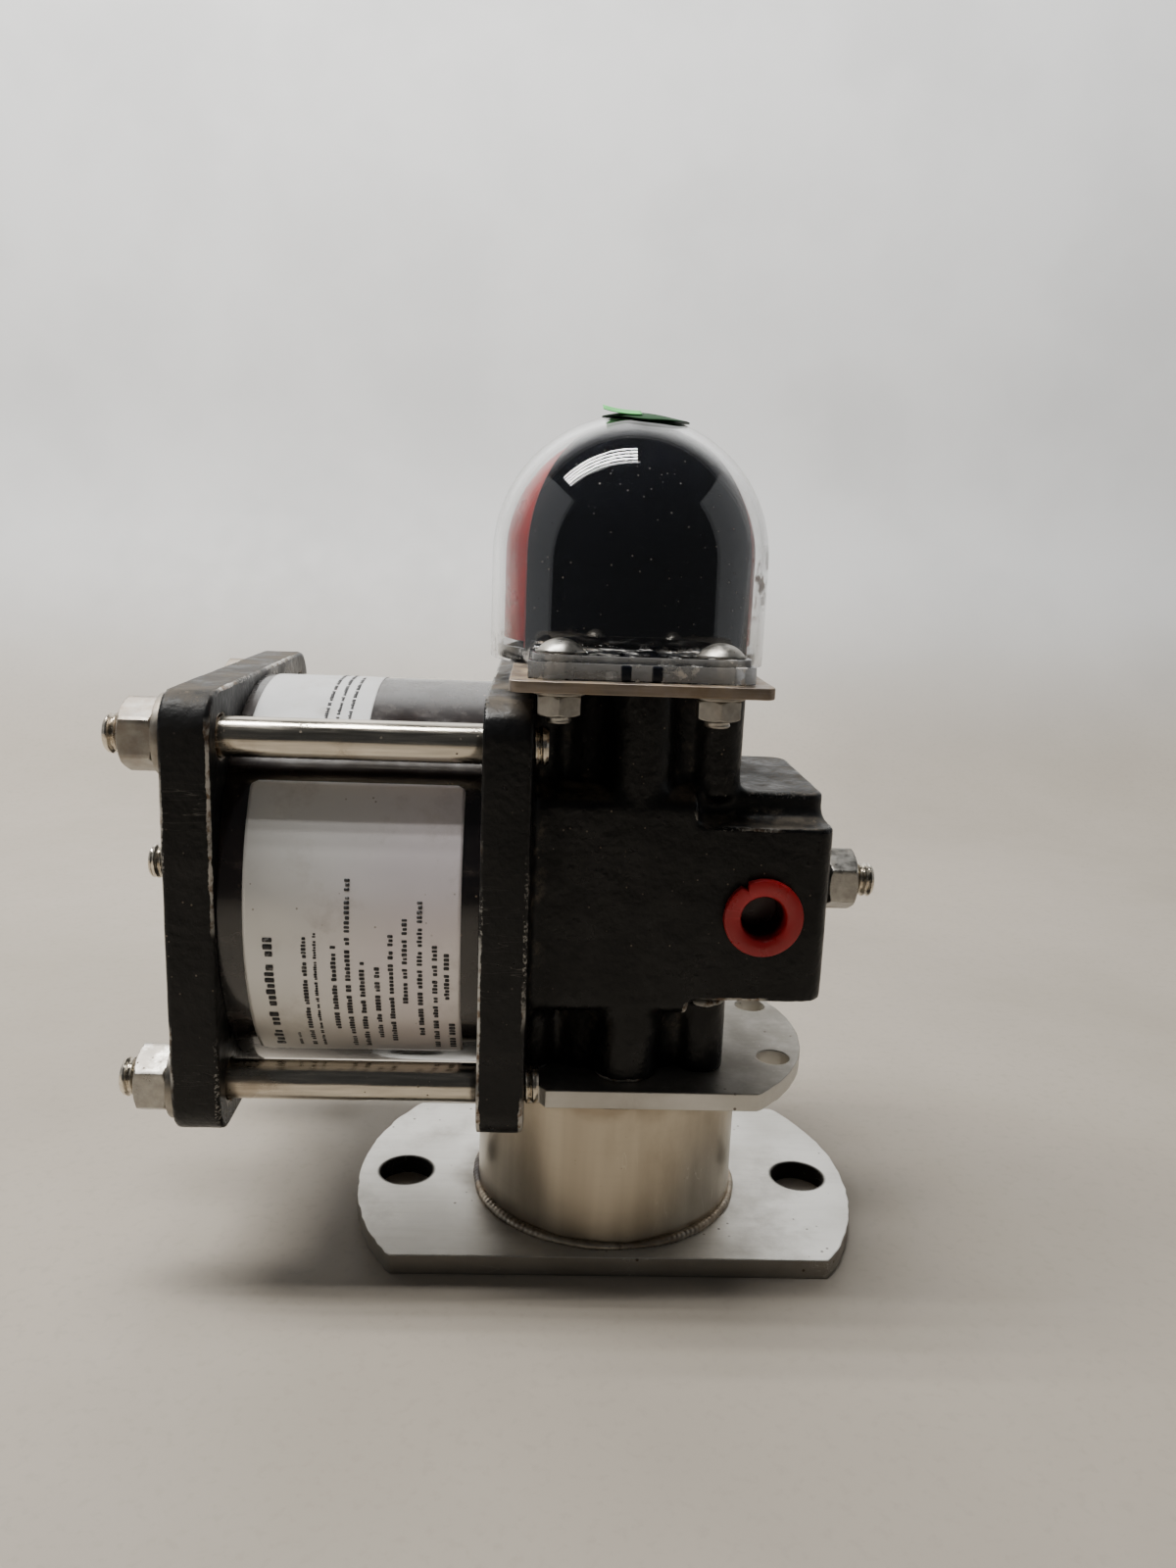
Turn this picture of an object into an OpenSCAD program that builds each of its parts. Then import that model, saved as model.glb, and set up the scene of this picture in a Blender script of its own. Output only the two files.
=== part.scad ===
// Rack-and-pinion valve actuator on a welded spool bracket, with a clear position-indicator dome.
// The origin is on the stem axis at the base plate's underside. +Z runs up the stem, and +X points
// from the air cylinder towards the stop box. The rack stands at the end of its travel that is
// nearest to the cylinder.

/* [Base bracket] */
// Diameter of the base plate before its sides are cut flat
base_d = 117.5; // [112:0.5:124]
// Width of the base plate across its two flats
base_flats = 68; // [64:1:80]
// Thickness of the base plate
base_t = 4.5; // [3:0.5:6]
// Distance between the two base bolt holes
base_bolt_spacing = 95.25; // [92:0.05:98]
// Diameter of the base bolt holes
base_bolt_d = 12.4; // [8:0.1:13]
// Outer diameter of the spool pipe
pipe_d = 60.3; // [58:0.1:62]
// Wall thickness of the spool pipe
pipe_wall = 2.8; // [2:0.1:4]
// Leg length of the weld beads
weld_leg = 2.4; // [1.5:0.1:2.8]
// Height of the top flange's upper face
mount_z = 42.6; // [42:0.1:44]
// Thickness of the top flange
flange_t = 4; // [3:0.5:5]
// Diameter of the top flange before it is cut flat
flange_d = 89; // [86:0.5:92]
// Width of the top flange across its two flats
flange_flats = 66; // [62:1:70]
// Distance of the spare flange holes from the stem axis, along X
spare_hole_x = 36; // [34:0.5:37]
// Distance between the spare flange holes
spare_hole_spacing = 29.6; // [26:0.1:32]
// Diameter of the spare flange holes
spare_hole_d = 7.4; // [5:0.1:8]

/* [Cast body] */
// Height of the cylinder axis above the top flange
axis_rise = 37.9; // [37.5:0.1:38.5]
// Side of the square cylinder plates
plate_side = 88.9; // [88:0.1:92]
// Thickness of the square cylinder plates
plate_t = 9.5; // [8:0.1:9.6]
// Corner radius of the square cylinder plates
plate_r = 7.5; // [5:0.5:8]
// Where the body's cylinder plate meets the tube, along X
body_face_x = -29; // [-29.5:0.1:-28.5]
// Half width of the gear block
block_half_y = 29.5; // [28:0.5:31]
// Gear block below the cylinder axis
block_down = 22.5; // [21:0.5:24]
// Gear block above the cylinder axis
block_up = 24.5; // [23:0.5:26]
// Right end of the gear block
block_right_x = 14.2; // [12:0.1:18]
// Right end of the stop box
box_right_x = 42.5; // [42:0.5:44]
// Half height of the stop box
box_half_h = 18.7; // [17:0.1:20]
// Half width of the raised pad on the stop box
pad_half_y = 22; // [21:0.5:24]
// Radius of the hub of both columns
column_r = 24; // [23:0.5:25]
// Radius of the front and back lobes of the columns
lobe_r = 7.1; // [6.5:0.1:7.5]
// Radius of the corner lugs of the columns
lug_r = 5.2; // [4.8:0.1:5.8]
// Radius of the circle that the corner lugs stand on
lug_circle_r = 26.3; // [25.5:0.1:26.5]
// Height of the upper column's top above the cylinder axis
column_rise = 47.1; // [46:0.1:48]
// Bolt circle of the screws that hold the bracket and the top plate
bolt_circle_d = 42; // [41:0.5:43]

/* [Cylinder] */
// Outer diameter of the composite tube
tube_d = 85.7; // [84:0.1:87]
// Bore of the composite tube
bore_d = 76.2; // [76:0.1:77]
// Length of the tube between the two plates
tube_len = 49.9; // [49:0.1:52]
// Diameter of the tie rods
tie_rod_d = 7.94; // [7.5:0.01:8]
// Distance between neighbouring tie rods
tie_rod_spacing = 70.5; // [70:0.1:71]

/* [Rack and pinion] */
// Gear module
gear_module = 1.75; // [1.75:0.01:1.76]
// Number of teeth on the pinion
pinion_teeth = 14; // [14:1:14]
// Pressure angle of the teeth
pressure_angle = 20; // [20:1:20]
// Face width of the gear and height of the rack
face_w = 20; // [18:0.5:20]
// Thinning of each tooth for backlash
backlash = 0.12; // [0.08:0.01:0.2]
// Radius of the pinion shaft's journals
journal_r = 9.5; // [9:0.1:9.6]
// Angle that the pinion turns through
turn_deg = 90; // [80:1:90]

/* [Travel stops] */
// Diameter of the stop screws
stop_d = 7.94; // [7.5:0.01:8]
// Outer tip of the right stop screw
right_stop_tip_x = 59; // [57:0.5:62]
// Outer tip of the left stop screw
left_stop_tip_x = -105; // [-108:0.5:-104]

/* [Top plate and indicator] */
// Length of the top plate, along Y
top_plate_len = 97; // [94:1:100]
// Width of the top plate, along X
top_plate_w = 48.6; // [46:0.1:52]
// Thickness of the top plate
top_plate_t = 2.2; // [2:0.1:3]
// Outer radius of the dome
dome_r = 29.8; // [29.5:0.1:30.5]
// Wall thickness of the dome
dome_wall = 1.4; // [1.2:0.1:1.8]
// Height of the dome above the top plate
dome_h = 51.4; // [50:0.1:54]
// Width of the dome's flange, along X
dome_flange_w = 42; // [40:0.5:44]
// Length of the dome's flange, along Y
dome_flange_len = 92.4; // [90:0.1:94]
// Distance between the dome screws, along X
dome_screw_x = 30; // [30:1:30]
// Distance between the dome screws, along Y
dome_screw_y = 80; // [80:1:80]
// Half angle of each window in the indicator mask
window_half_deg = 38; // [28:1:42]
// Turn of both windows about the stem
window_turn_deg = 2.4; // [0:0.1:5]

/* [Hidden] */
$fn = 64;

// Running and clearance gaps
running_gap = 0.05;
side_gap = 0.1;

// Heights and stations
axis_z = mount_z + axis_rise;
plate_top_z = axis_z + column_rise;
top_z = plate_top_z + top_plate_t;
cap_face_x = body_face_x - tube_len;
cap_outer_x = cap_face_x - plate_t;
body_back_x = body_face_x + plate_t;
tie_half = tie_rod_spacing / 2;
spigot_len = 3.6;
spigot_r = bore_d / 2 - running_gap;
seal_groove_r = 36;

// Gear geometry
pitch_r = gear_module * pinion_teeth / 2;
tooth_pitch = PI * gear_module;
addendum = 0.8 * gear_module;
dedendum = gear_module;
tip_r = pitch_r + addendum;
root_r = pitch_r - dedendum;
gear_base_r = pitch_r * cos(pressure_angle);
tooth_t = tooth_pitch / 2 - backlash;
travel = pitch_r * turn_deg * PI / 180;
gear_low_z = axis_z - face_w / 2;
gear_high_z = axis_z + face_w / 2;

// Cavity that holds the rack
cavity_right_x = 38;
cavity_half_y = 20.5;
cavity_low_z = axis_z - face_w / 2 - 1;
cavity_high_z = axis_z + face_w / 2 + 1;

// Rack and piston, at rest
rack_mid_x = -travel / 2;
window_half = tip_r + travel / 2 + 0.6;
rack_half = window_half + 4;
rack_half_y = 19.4;
rack_right_x = rack_mid_x + rack_half;
rack_left_x = rack_mid_x - rack_half;
rack_rod_r = 8;
piston_t = 14;
piston_right_x = rack_left_x - 15.4;
piston_left_x = piston_right_x - piston_t;
piston_r = 37.9;
rod_socket = 3;

// Shaft and bearings
lower_bore_r = 12.1;
upper_bore_r = 14.1;
lower_bearing_low_z = mount_z + 7.4;
upper_bearing_high_z = axis_z + 38;
shaft_seal_r = (journal_r + lower_bore_r) / 2;
shaft_seal_section = (lower_bore_r - journal_r) / 2 - running_gap;
stub_r = 5;
stub_high_z = top_z + 17;
socket_side = 11;
socket_depth = 14;

// Stem coupling
coupling_low_z = 10;
coupling_high_z = mount_z - 6.6;
stem_bore_r = 6.4;
stem_bore_len = 22;
set_screw_z = coupling_low_z + 10;

// Travel stops
boss_t = 3.9;
stop_r = stop_d / 2;
stop_hole_r = stop_r + 0.04;
right_boss_x = box_right_x + boss_t;
stop_seal_t = 1.5;
nut_af = 12.7;
nut_t = 6.75;
washer_t = 1.6;

// Air ports
port_x = 28.4;
port_r = 5.7;
cap_port_y = 22;

// The bracket is cut away on the left to clear the body's cylinder plate
bracket_cut_x = body_back_x + 0.3;

// Top plate and indicator
bolt_circle_r = bolt_circle_d / 2;
plate_screw_r = 2;
dome_centre_z = top_z + dome_h - dome_r;
dome_inner_r = dome_r - dome_wall;
flange_low_t = 3.3;
flange_step_t = 1.3;
dome_screw_r = 2.5;
mask_r = dome_inner_r - 0.2;
mask_wall = 0.8;
mask_low_z = top_z + 0.3;
mask_ring_t = 2.8;
panel_r = mask_r - mask_wall - 0.5;
panel_wall = 1.2;
core_r = panel_r - panel_wall - 0.1;
core_wall = 1.4;
rotor_low_z = top_z + 3.9;
panel_high_z = dome_centre_z + 23;
tab_xs = [-3.1, 2.6];
tab_w = 2;

// Colours
iron = "#1b1c1f";
steel = "#b9b4aa";
bright = "#cfccc4";
rubber = "#18181a";
bronze = "#a9824a";

// ---- Shapes that repeat ----

// Cylinder about the stem axis
module rod_z(r, z0, z1) {
    translate([0, 0, z0]) cylinder(r = r, h = z1 - z0);
}

// Cylinder along X
module rod_x(r, x0, x1, y = 0, z = axis_z) {
    translate([x0, y, z]) rotate([0, 90, 0]) cylinder(r = r, h = x1 - x0);
}

// Cylinder along Y
module rod_y(r, y0, y1, x, z) {
    translate([x, y0, z]) rotate([-90, 0, 0]) cylinder(r = r, h = y1 - y0);
}

// Ring about the stem axis
module ring_z(r_out, r_in, z0, z1) {
    difference() {
        rod_z(r_out, z0, z1);
        rod_z(r_in, z0 - 1, z1 + 1);
    }
}

// Ring along X
module ring_x(r_out, r_in, x0, x1, y = 0, z = axis_z) {
    difference() {
        rod_x(r_out, x0, x1, y, z);
        rod_x(r_in, x0 - 1, x1 + 1, y, z);
    }
}

// Box between two corners
module slab(x0, x1, y0, y1, z0, z1) {
    translate([x0, y0, z0]) cube([x1 - x0, y1 - y0, z1 - z0]);
}

// Rectangle with round corners
module rounded_rect(w, h, r) {
    square([w - 2 * r, h], center = true);
    square([w, h - 2 * r], center = true);
    for (x = [-1, 1], y = [-1, 1])
        translate([x * (w / 2 - r), y * (h / 2 - r)]) circle(r);
}

// Plate with round corners, standing across X, with its centre on the cylinder axis
module plate_x(w, h, r, x0, x1, rise = 0) {
    translate([x0, 0, axis_z + rise]) rotate([90, 0, 90])
        linear_extrude(x1 - x0) rounded_rect(w, h, r);
}

// Plate with round corners, lying across Z
module plate_z(w, len, r, z0, z1, x = 0) {
    translate([x, 0, z0]) linear_extrude(z1 - z0) rounded_rect(w, len, r);
}

// O-ring round the cylinder axis
module seal_x(r, section_r, x) {
    translate([x, 0, axis_z]) rotate([0, 90, 0])
        rotate_extrude() translate([r, 0]) circle(section_r);
}

// O-ring round the stem axis
module seal_z(r, section_r, z) {
    translate([0, 0, z]) rotate_extrude() translate([r, 0]) circle(section_r);
}

// Hexagon along X with corners up and down
module hex_x(af, x0, x1, y = 0, z = axis_z) {
    translate([x0, y, z]) rotate([90, 0, 90]) rotate(30)
        cylinder(r = af / sqrt(3), h = x1 - x0, $fn = 6);
}

// Hexagon nut along X
module nut_x(af, bore_r, x0, x1, y = 0, z = axis_z) {
    difference() {
        hex_x(af, x0, x1, y, z);
        rod_x(bore_r, x0 - 1, x1 + 1, y, z);
    }
}

// Places its children at the four tie rods
module at_tie_rods() {
    for (y = [-1, 1], z = [-1, 1]) translate([0, y * tie_half, z * tie_half]) children();
}

// Places its children at the four screws on the bolt circle
module at_bolt_circle() {
    for (a = [45 : 90 : 315]) rotate(a) translate([bolt_circle_r, 0, 0]) children();
}

// Places its children at the four dome screws
module at_dome_screws() {
    for (x = [-1, 1], y = [-1, 1])
        translate([x * dome_screw_x / 2, y * dome_screw_y / 2, 0]) children();
}

// Solid dome: a cylinder under half a ball
module bell(r, z0) {
    intersection() {
        union() {
            rod_z(r, z0, dome_centre_z);
            translate([0, 0, dome_centre_z]) sphere(r);
        }
        rod_z(r + 1, z0, dome_centre_z + r + 1);
    }
}

// Hollow dome
module bell_shell(r, wall, z0) {
    difference() {
        bell(r, z0);
        bell(r - wall, z0 - 1);
    }
}

// Wedge about the stem axis, less than 180 degrees wide
module wedge(a0, a1, z0, z1) {
    reach = 60;
    mid = (a0 + a1) / 2;
    translate([0, 0, z0]) linear_extrude(z1 - z0)
        polygon([[0, 0], reach * [cos(a0), sin(a0)], reach * [cos(mid), sin(mid)],
                 reach * [cos(a1), sin(a1)]]);
}

// ---- Gear teeth ----

function involute_deg(a) = tan(a) * 180 / PI - a;

// Half the angle that a pinion tooth fills at radius r
function tooth_half_deg(r) =
    tooth_t / 2 / pitch_r * 180 / PI + involute_deg(pressure_angle)
    - involute_deg(acos(min(1, gear_base_r / r)));

module pinion_tooth() {
    steps = 5;
    radii = concat([root_r - 0.4],
        [for (i = [0 : steps]) gear_base_r + (tip_r - gear_base_r) * i / steps]);
    low = [for (r = radii) let (a = tooth_half_deg(max(r, gear_base_r))) r * [cos(a), -sin(a)]];
    high = [for (i = [len(radii) - 1 : -1 : 0]) [low[i][0], -low[i][1]]];
    polygon(concat(low, high));
}

// Pinion outline, with a gap between teeth on +Y, where the rack is
module pinion_outline() {
    circle(root_r);
    for (i = [0 : pinion_teeth - 1])
        rotate(90 + (i + 0.5) * 360 / pinion_teeth) pinion_tooth();
}

module rack_tooth() {
    slope = tan(pressure_angle);
    half_tip = tooth_t / 2 - addendum * slope;
    half_root = tooth_t / 2 + dedendum * slope;
    polygon([[-half_tip, pitch_r - addendum], [half_tip, pitch_r - addendum],
             [half_root, pitch_r + dedendum], [half_root, pitch_r + dedendum + 1],
             [-half_root, pitch_r + dedendum + 1], [-half_root, pitch_r + dedendum]]);
}

// ---- Cast parts ----

// Lobed column that carries a bolted joint
module column(z0, z1) {
    lobe_x = 2;
    translate([0, 0, z0]) linear_extrude(z1 - z0) {
        circle(column_r);
        for (a = [45 : 90 : 315]) rotate(a) translate([lug_circle_r, 0]) circle(lug_r);
        for (y = [-1, 1]) translate([lobe_x, y * (block_half_y - 0.2 - lobe_r)]) circle(lobe_r);
    }
}

// Box that the right stop screw threads into, with a raised pad on top
module stop_box() {
    box_half_y = block_half_y - 0.1;
    pad_right_x = box_right_x - 1;
    plate_z(box_right_x, 2 * box_half_y, 4, axis_z - box_half_h, axis_z + box_half_h,
            box_right_x / 2);
    plate_z(pad_right_x, 2 * pad_half_y, 4, axis_z + box_half_h - 2, axis_z + block_up - 0.1,
            pad_right_x / 2);
    rod_x(9, box_right_x - 1, right_boss_x);
}

module body_solid() {
    plate_x(plate_side, plate_side, plate_r, body_face_x, body_back_x);
    rod_x(spigot_r, body_face_x - spigot_len, body_face_x + 1);
    plate_x(2 * block_half_y, block_up + block_down, 3, body_back_x - 2, block_right_x,
            (block_up - block_down) / 2);
    stop_box();
    column(mount_z, axis_z - block_down + 1.2);
    column(axis_z + block_up - 1.2, plate_top_z);
}

module body_casting() {
    screw_hole_r = 2.08;
    color(iron) difference() {
        body_solid();
        plate_x(2 * cavity_half_y, cavity_high_z - cavity_low_z, 2,
                body_face_x - spigot_len - 1, cavity_right_x);
        rod_z(lower_bore_r, mount_z - 1, axis_z);
        rod_z(upper_bore_r, axis_z, plate_top_z + 1);
        rod_z(upper_bore_r + 1, upper_bearing_high_z, upper_bearing_high_z + 1.3);
        ring_x(spigot_r + 1, seal_groove_r, body_face_x - 3.2, body_face_x - 0.9);
        rod_x(stop_hole_r, cavity_right_x - 1, right_boss_x + 1);
        rod_y(port_r, -block_half_y - 1, -cavity_half_y + 1, port_x, axis_z);
        at_tie_rods() rod_x(tie_rod_d / 2 + 0.03, body_face_x - 1, body_back_x + 1);
        at_bolt_circle() rod_z(plate_screw_r + 0.03, plate_top_z - 12, plate_top_z + 1);
        at_bolt_circle() rod_z(screw_hole_r + 0.45, mount_z - 1, mount_z + 10);
    }
}

module outer_end_cap() {
    color(iron) difference() {
        union() {
            plate_x(plate_side, plate_side, plate_r, cap_outer_x, cap_face_x);
            rod_x(spigot_r, cap_face_x, cap_face_x + spigot_len);
        }
        rod_x(spigot_r - 8, cap_face_x, cap_face_x + spigot_len + 1);
        ring_x(spigot_r + 1, seal_groove_r, cap_face_x + 0.9, cap_face_x + 3.2);
        rod_x(stop_hole_r, cap_outer_x - 1, cap_face_x + 1);
        rod_x(port_r, cap_outer_x - 1, cap_face_x + 1, cap_port_y);
        at_tie_rods() rod_x(tie_rod_d / 2 + 0.2, cap_outer_x - 1, cap_face_x + 1);
    }
}

// ---- Cylinder ----

module cylinder_tube() {
    color("#141416") ring_x(tube_d / 2, bore_d / 2, cap_face_x, body_face_x);
}

module tube_seals() {
    section = (bore_d / 2 - seal_groove_r) / 2 - 0.02;
    color(rubber) for (x = [cap_face_x + 2.05, body_face_x - 2.05])
        seal_x(seal_groove_r + section + 0.01, section, x);
}

module tie_rods() {
    color(steel) at_tie_rods() rod_x(tie_rod_d / 2, cap_outer_x - 11.9, body_back_x + 2.9);
}

module tie_rod_washers() {
    color(steel) at_tie_rods()
        ring_x(8, tie_rod_d / 2 + 0.2, cap_outer_x - washer_t, cap_outer_x);
}

module tie_rod_nuts() {
    nut_right_x = cap_outer_x - washer_t;
    color(bright) at_tie_rods()
        nut_x(nut_af, tie_rod_d / 2 + 0.03, nut_right_x - nut_t, nut_right_x);
}

// ---- Rack and piston ----

module rack() {
    first_tooth = -5;
    last_tooth = 2;
    rod_left_x = piston_right_x - rod_socket;
    color("#8f9092") difference() {
        union() {
            translate([0, 0, gear_low_z]) linear_extrude(face_w) {
                difference() {
                    translate([rack_left_x, -rack_half_y])
                        square([2 * rack_half, 2 * rack_half_y]);
                    translate([rack_mid_x - window_half, -tip_r - 0.75])
                        square([2 * window_half, tip_r + 0.75 + pitch_r + dedendum]);
                }
                for (i = [first_tooth : last_tooth])
                    translate([i * tooth_pitch, 0]) rack_tooth();
            }
            rod_x(rack_rod_r, rod_left_x, rack_left_x + 1);
        }
        rod_x(4, rod_left_x - 1, rod_left_x + 13);
    }
}

module rack_guides() {
    outer_y = cavity_half_y - running_gap;
    inner_y = rack_half_y + running_gap;
    color("#d8d2bd") for (s = [-1, 1]) mirror([0, (1 - s) / 2, 0]) intersection() {
        plate_x(2 * outer_y, cavity_high_z - cavity_low_z - 0.04, 2, -18, cavity_right_x - 1);
        difference() {
            slab(-19, cavity_right_x, inner_y - 3.4, outer_y + 1, cavity_low_z, cavity_high_z - 2.5);
            slab(-20, cavity_right_x + 1, inner_y - 4, inner_y, gear_low_z - running_gap,
                 cavity_high_z);
        }
    }
}

module piston() {
    color("#9fa2a6") difference() {
        rod_x(piston_r, piston_left_x, piston_right_x);
        rod_x(rack_rod_r + 0.05, piston_right_x - rod_socket, piston_right_x + 1);
        rod_x(4.1, piston_left_x - 1, piston_right_x);
        rod_x(6.6, piston_left_x - 1, piston_left_x + 5);
        ring_x(piston_r + 1, 34.6, piston_right_x - 7, piston_right_x - 3);
        ring_x(piston_r + 1, 36.6, piston_left_x + 2, piston_left_x + 5.6);
    }
}

module piston_seal() {
    section = (bore_d / 2 - 34.6) / 2 - 0.03;
    color(rubber) seal_x(34.61 + section, section, piston_right_x - 5);
}

module piston_wear_band() {
    color("#c9b184") ring_x(bore_d / 2 - running_gap, 36.65, piston_left_x + 2.1, piston_left_x + 5.5);
}

module piston_screw() {
    color(steel) difference() {
        union() {
            rod_x(6.5, piston_left_x + 0.1, piston_left_x + 5);
            rod_x(3.96, piston_left_x + 5, piston_right_x - rod_socket + 11);
        }
        hex_x(6, piston_left_x, piston_left_x + 3);
    }
}

// ---- Pinion shaft and what turns with it ----

module pinion_shaft() {
    color("#a7a9ab") difference() {
        union() {
            rod_z(journal_r, mount_z + 0.3, upper_bearing_high_z);
            translate([0, 0, gear_low_z]) linear_extrude(face_w) pinion_outline();
            rod_z(8, upper_bearing_high_z, top_z + 1);
            rod_z(stub_r, top_z + 1, stub_high_z);
        }
        translate([0, 0, mount_z]) linear_extrude(socket_depth)
            square(socket_side, center = true);
        slab(stub_r - 1.2, stub_r + 1, -stub_r, stub_r, top_z + 4, stub_high_z + 1);
        rod_z(2, stub_high_z - 10, stub_high_z + 1);
    }
}

module lower_bearing() {
    color(bronze) ring_z(lower_bore_r - 0.02, journal_r + running_gap,
                         lower_bearing_low_z, cavity_low_z - 0.1);
}

module upper_bearing() {
    color(bronze) difference() {
        ring_z(upper_bore_r - 0.02, journal_r + running_gap,
               cavity_high_z + 0.1, upper_bearing_high_z);
        rod_z(lower_bore_r, upper_bearing_high_z - 5, upper_bearing_high_z - 1.8);
    }
}

module thrust_washers() {
    color("#e3dfd2") {
        ring_z(13.5, journal_r + 0.1, cavity_low_z + 0.03, gear_low_z - side_gap);
        ring_z(13.5, journal_r + 0.1, gear_high_z + side_gap, cavity_high_z + 0.05);
    }
}

module shaft_seals() {
    color(rubber) for (z = [lower_bearing_low_z - 2, upper_bearing_high_z - 3.4])
        seal_z(shaft_seal_r, shaft_seal_section, z);
}

module bearing_retaining_ring() {
    color(steel) difference() {
        ring_z(upper_bore_r + 0.9, upper_bore_r - 1.8,
               upper_bearing_high_z + 0.05, upper_bearing_high_z + 1.25);
        wedge(-18, 18, upper_bearing_high_z, upper_bearing_high_z + 2);
    }
}

module stem_coupling() {
    tenon = socket_side - 0.1;
    color("#8d8f92") difference() {
        union() {
            rod_z(14.5, coupling_low_z, coupling_high_z);
            rod_z(9, coupling_high_z, mount_z);
            translate([0, 0, mount_z]) linear_extrude(socket_depth - 0.5)
                square(tenon, center = true);
        }
        rod_z(stem_bore_r, coupling_low_z - 1, coupling_low_z + stem_bore_len);
        slab(0, stem_bore_r + 1.6, -1.6, 1.6, coupling_low_z - 1, coupling_low_z + stem_bore_len);
        rod_y(2.5, 0, 15, 0, set_screw_z);
    }
}

module coupling_set_screw() {
    color("#3a3a3c") difference() {
        rod_y(2.47, stem_bore_r + 0.3, 13.5, 0, set_screw_z);
        translate([0, 14, set_screw_z]) rotate([90, 0, 0])
            cylinder(r = 1.4, h = 3, $fn = 6);
    }
}

// ---- Travel stops and port ----

module right_stop_screw() {
    tip_x = rack_right_x + travel + side_gap;
    color(steel) difference() {
        rod_x(stop_r, tip_x, right_stop_tip_x);
        hex_x(3.97, right_stop_tip_x - 4, right_stop_tip_x + 1);
    }
}

module left_stop_screw() {
    color(steel) difference() {
        rod_x(stop_r, left_stop_tip_x, piston_left_x - running_gap);
        hex_x(3.97, left_stop_tip_x - 1, left_stop_tip_x + 4);
    }
}

module stop_thread_seals() {
    color(rubber) {
        ring_x(7.2, stop_hole_r, right_boss_x, right_boss_x + stop_seal_t);
        ring_x(7.2, stop_hole_r, cap_outer_x - stop_seal_t, cap_outer_x);
    }
}

module stop_lock_nuts() {
    right_x = right_boss_x + stop_seal_t;
    left_x = cap_outer_x - stop_seal_t;
    color(bright) {
        nut_x(nut_af, stop_hole_r, right_x, right_x + nut_t);
        nut_x(nut_af, stop_hole_r, left_x - nut_t, left_x);
    }
}

module port_cap() {
    face_y = -block_half_y;
    color("#c8322b") difference() {
        union() {
            rod_y(8.25, face_y - 2, face_y - 0.05, port_x, axis_z);
            rod_y(port_r - 0.1, face_y - 0.1, face_y + 8, port_x, axis_z);
        }
        rod_y(4.7, face_y - 3, face_y + 6.8, port_x, axis_z);
    }
}

// ---- Top plate, dome and indicator ----

module top_plate() {
    color(steel) difference() {
        plate_z(top_plate_w, top_plate_len, 2, plate_top_z, top_z);
        rod_z(8.6, plate_top_z - 1, top_z + 1);
        at_dome_screws() rod_z(dome_screw_r + 0.2, plate_top_z - 1, top_z + 1);
        at_bolt_circle() rod_z(plate_screw_r + 0.1, plate_top_z - 1, top_z + 1);
        at_bolt_circle() translate([0, 0, plate_top_z])
            cylinder(r1 = plate_screw_r + 0.1, r2 = 4.2, h = top_plate_t);
    }
}

module top_plate_screws() {
    color(steel) at_bolt_circle() difference() {
        union() {
            rod_z(plate_screw_r, plate_top_z - 10, plate_top_z + 0.05);
            translate([0, 0, plate_top_z + 0.05])
                cylinder(r1 = plate_screw_r, r2 = 4.05, h = top_plate_t - 0.1);
        }
        translate([0, 0, top_z - 1.3]) cylinder(r = 1.4, h = 2, $fn = 6);
    }
}

module dome_cover() {
    flange_top_z = top_z + flange_low_t;
    color("#dfe6ea", 0.35) difference() {
        union() {
            plate_z(dome_flange_w, dome_flange_len, 3, top_z, flange_top_z);
            plate_z(dome_flange_w - 1.6, dome_flange_len - 1.6, 3, flange_top_z,
                    flange_top_z + flange_step_t);
            bell(dome_r, top_z);
        }
        bell(dome_inner_r, top_z - 1);
        at_dome_screws() rod_z(dome_screw_r + 0.2, top_z - 1, top_z + 6);
        for (x = tab_xs) slab(x - tab_w / 2 - 0.1, x + tab_w / 2 + 0.1,
                              -dome_flange_len / 2 - 1, -dome_inner_r + 2, top_z - 1,
                              mask_low_z + mask_ring_t + 0.1);
        slab(-12.1, 11.3, -45.1, -42.9, top_z - 1, mask_low_z + mask_ring_t + 0.1);
    }
}

module dome_screws() {
    head_z = top_z + flange_low_t + flange_step_t;
    color(bright) at_dome_screws() {
        rod_z(dome_screw_r, plate_top_z - 6.4, head_z);
        difference() {
            translate([0, 0, head_z - 2.6]) sphere(5.43);
            rod_z(6, head_z - 9, head_z);
            translate([0, 0, head_z + 1.3]) cylinder(r = 1.8, h = 3, $fn = 6);
        }
    }
}

module dome_washers() {
    color(steel) at_dome_screws() ring_z(5, dome_screw_r + 0.15, plate_top_z - 1, plate_top_z);
}

module dome_nuts() {
    color(bright) at_dome_screws() difference() {
        translate([0, 0, plate_top_z - 5]) rotate(30) cylinder(r = 8 / sqrt(3), h = 4, $fn = 6);
        rod_z(dome_screw_r + 0.03, plate_top_z - 6, plate_top_z);
    }
}

module dome_sticker() {
    color("#2e7d3f") intersection() {
        bell_shell(dome_r + 0.25, 0.25, top_z + 20);
        rod_z(9.6, dome_centre_z, dome_centre_z + dome_r + 1);
    }
}

module indicator_mask() {
    color("#101113") {
        difference() {
            bell_shell(mask_r, mask_wall, mask_low_z + mask_ring_t - 0.1);
            for (a = [window_turn_deg, 180 + window_turn_deg])
                wedge(a - window_half_deg, a + window_half_deg, mask_low_z + mask_ring_t,
                      dome_centre_z + 25);
        }
        ring_z(mask_r, 20, mask_low_z, mask_low_z + mask_ring_t);
        for (x = tab_xs) slab(x - tab_w / 2, x + tab_w / 2, -dome_flange_len / 2 - 0.2,
                              -mask_r + 2, mask_low_z, mask_low_z + mask_ring_t);
        slab(-12, 11.2, -45, -43, mask_low_z + 1.4, mask_low_z + mask_ring_t);
    }
}

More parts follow.
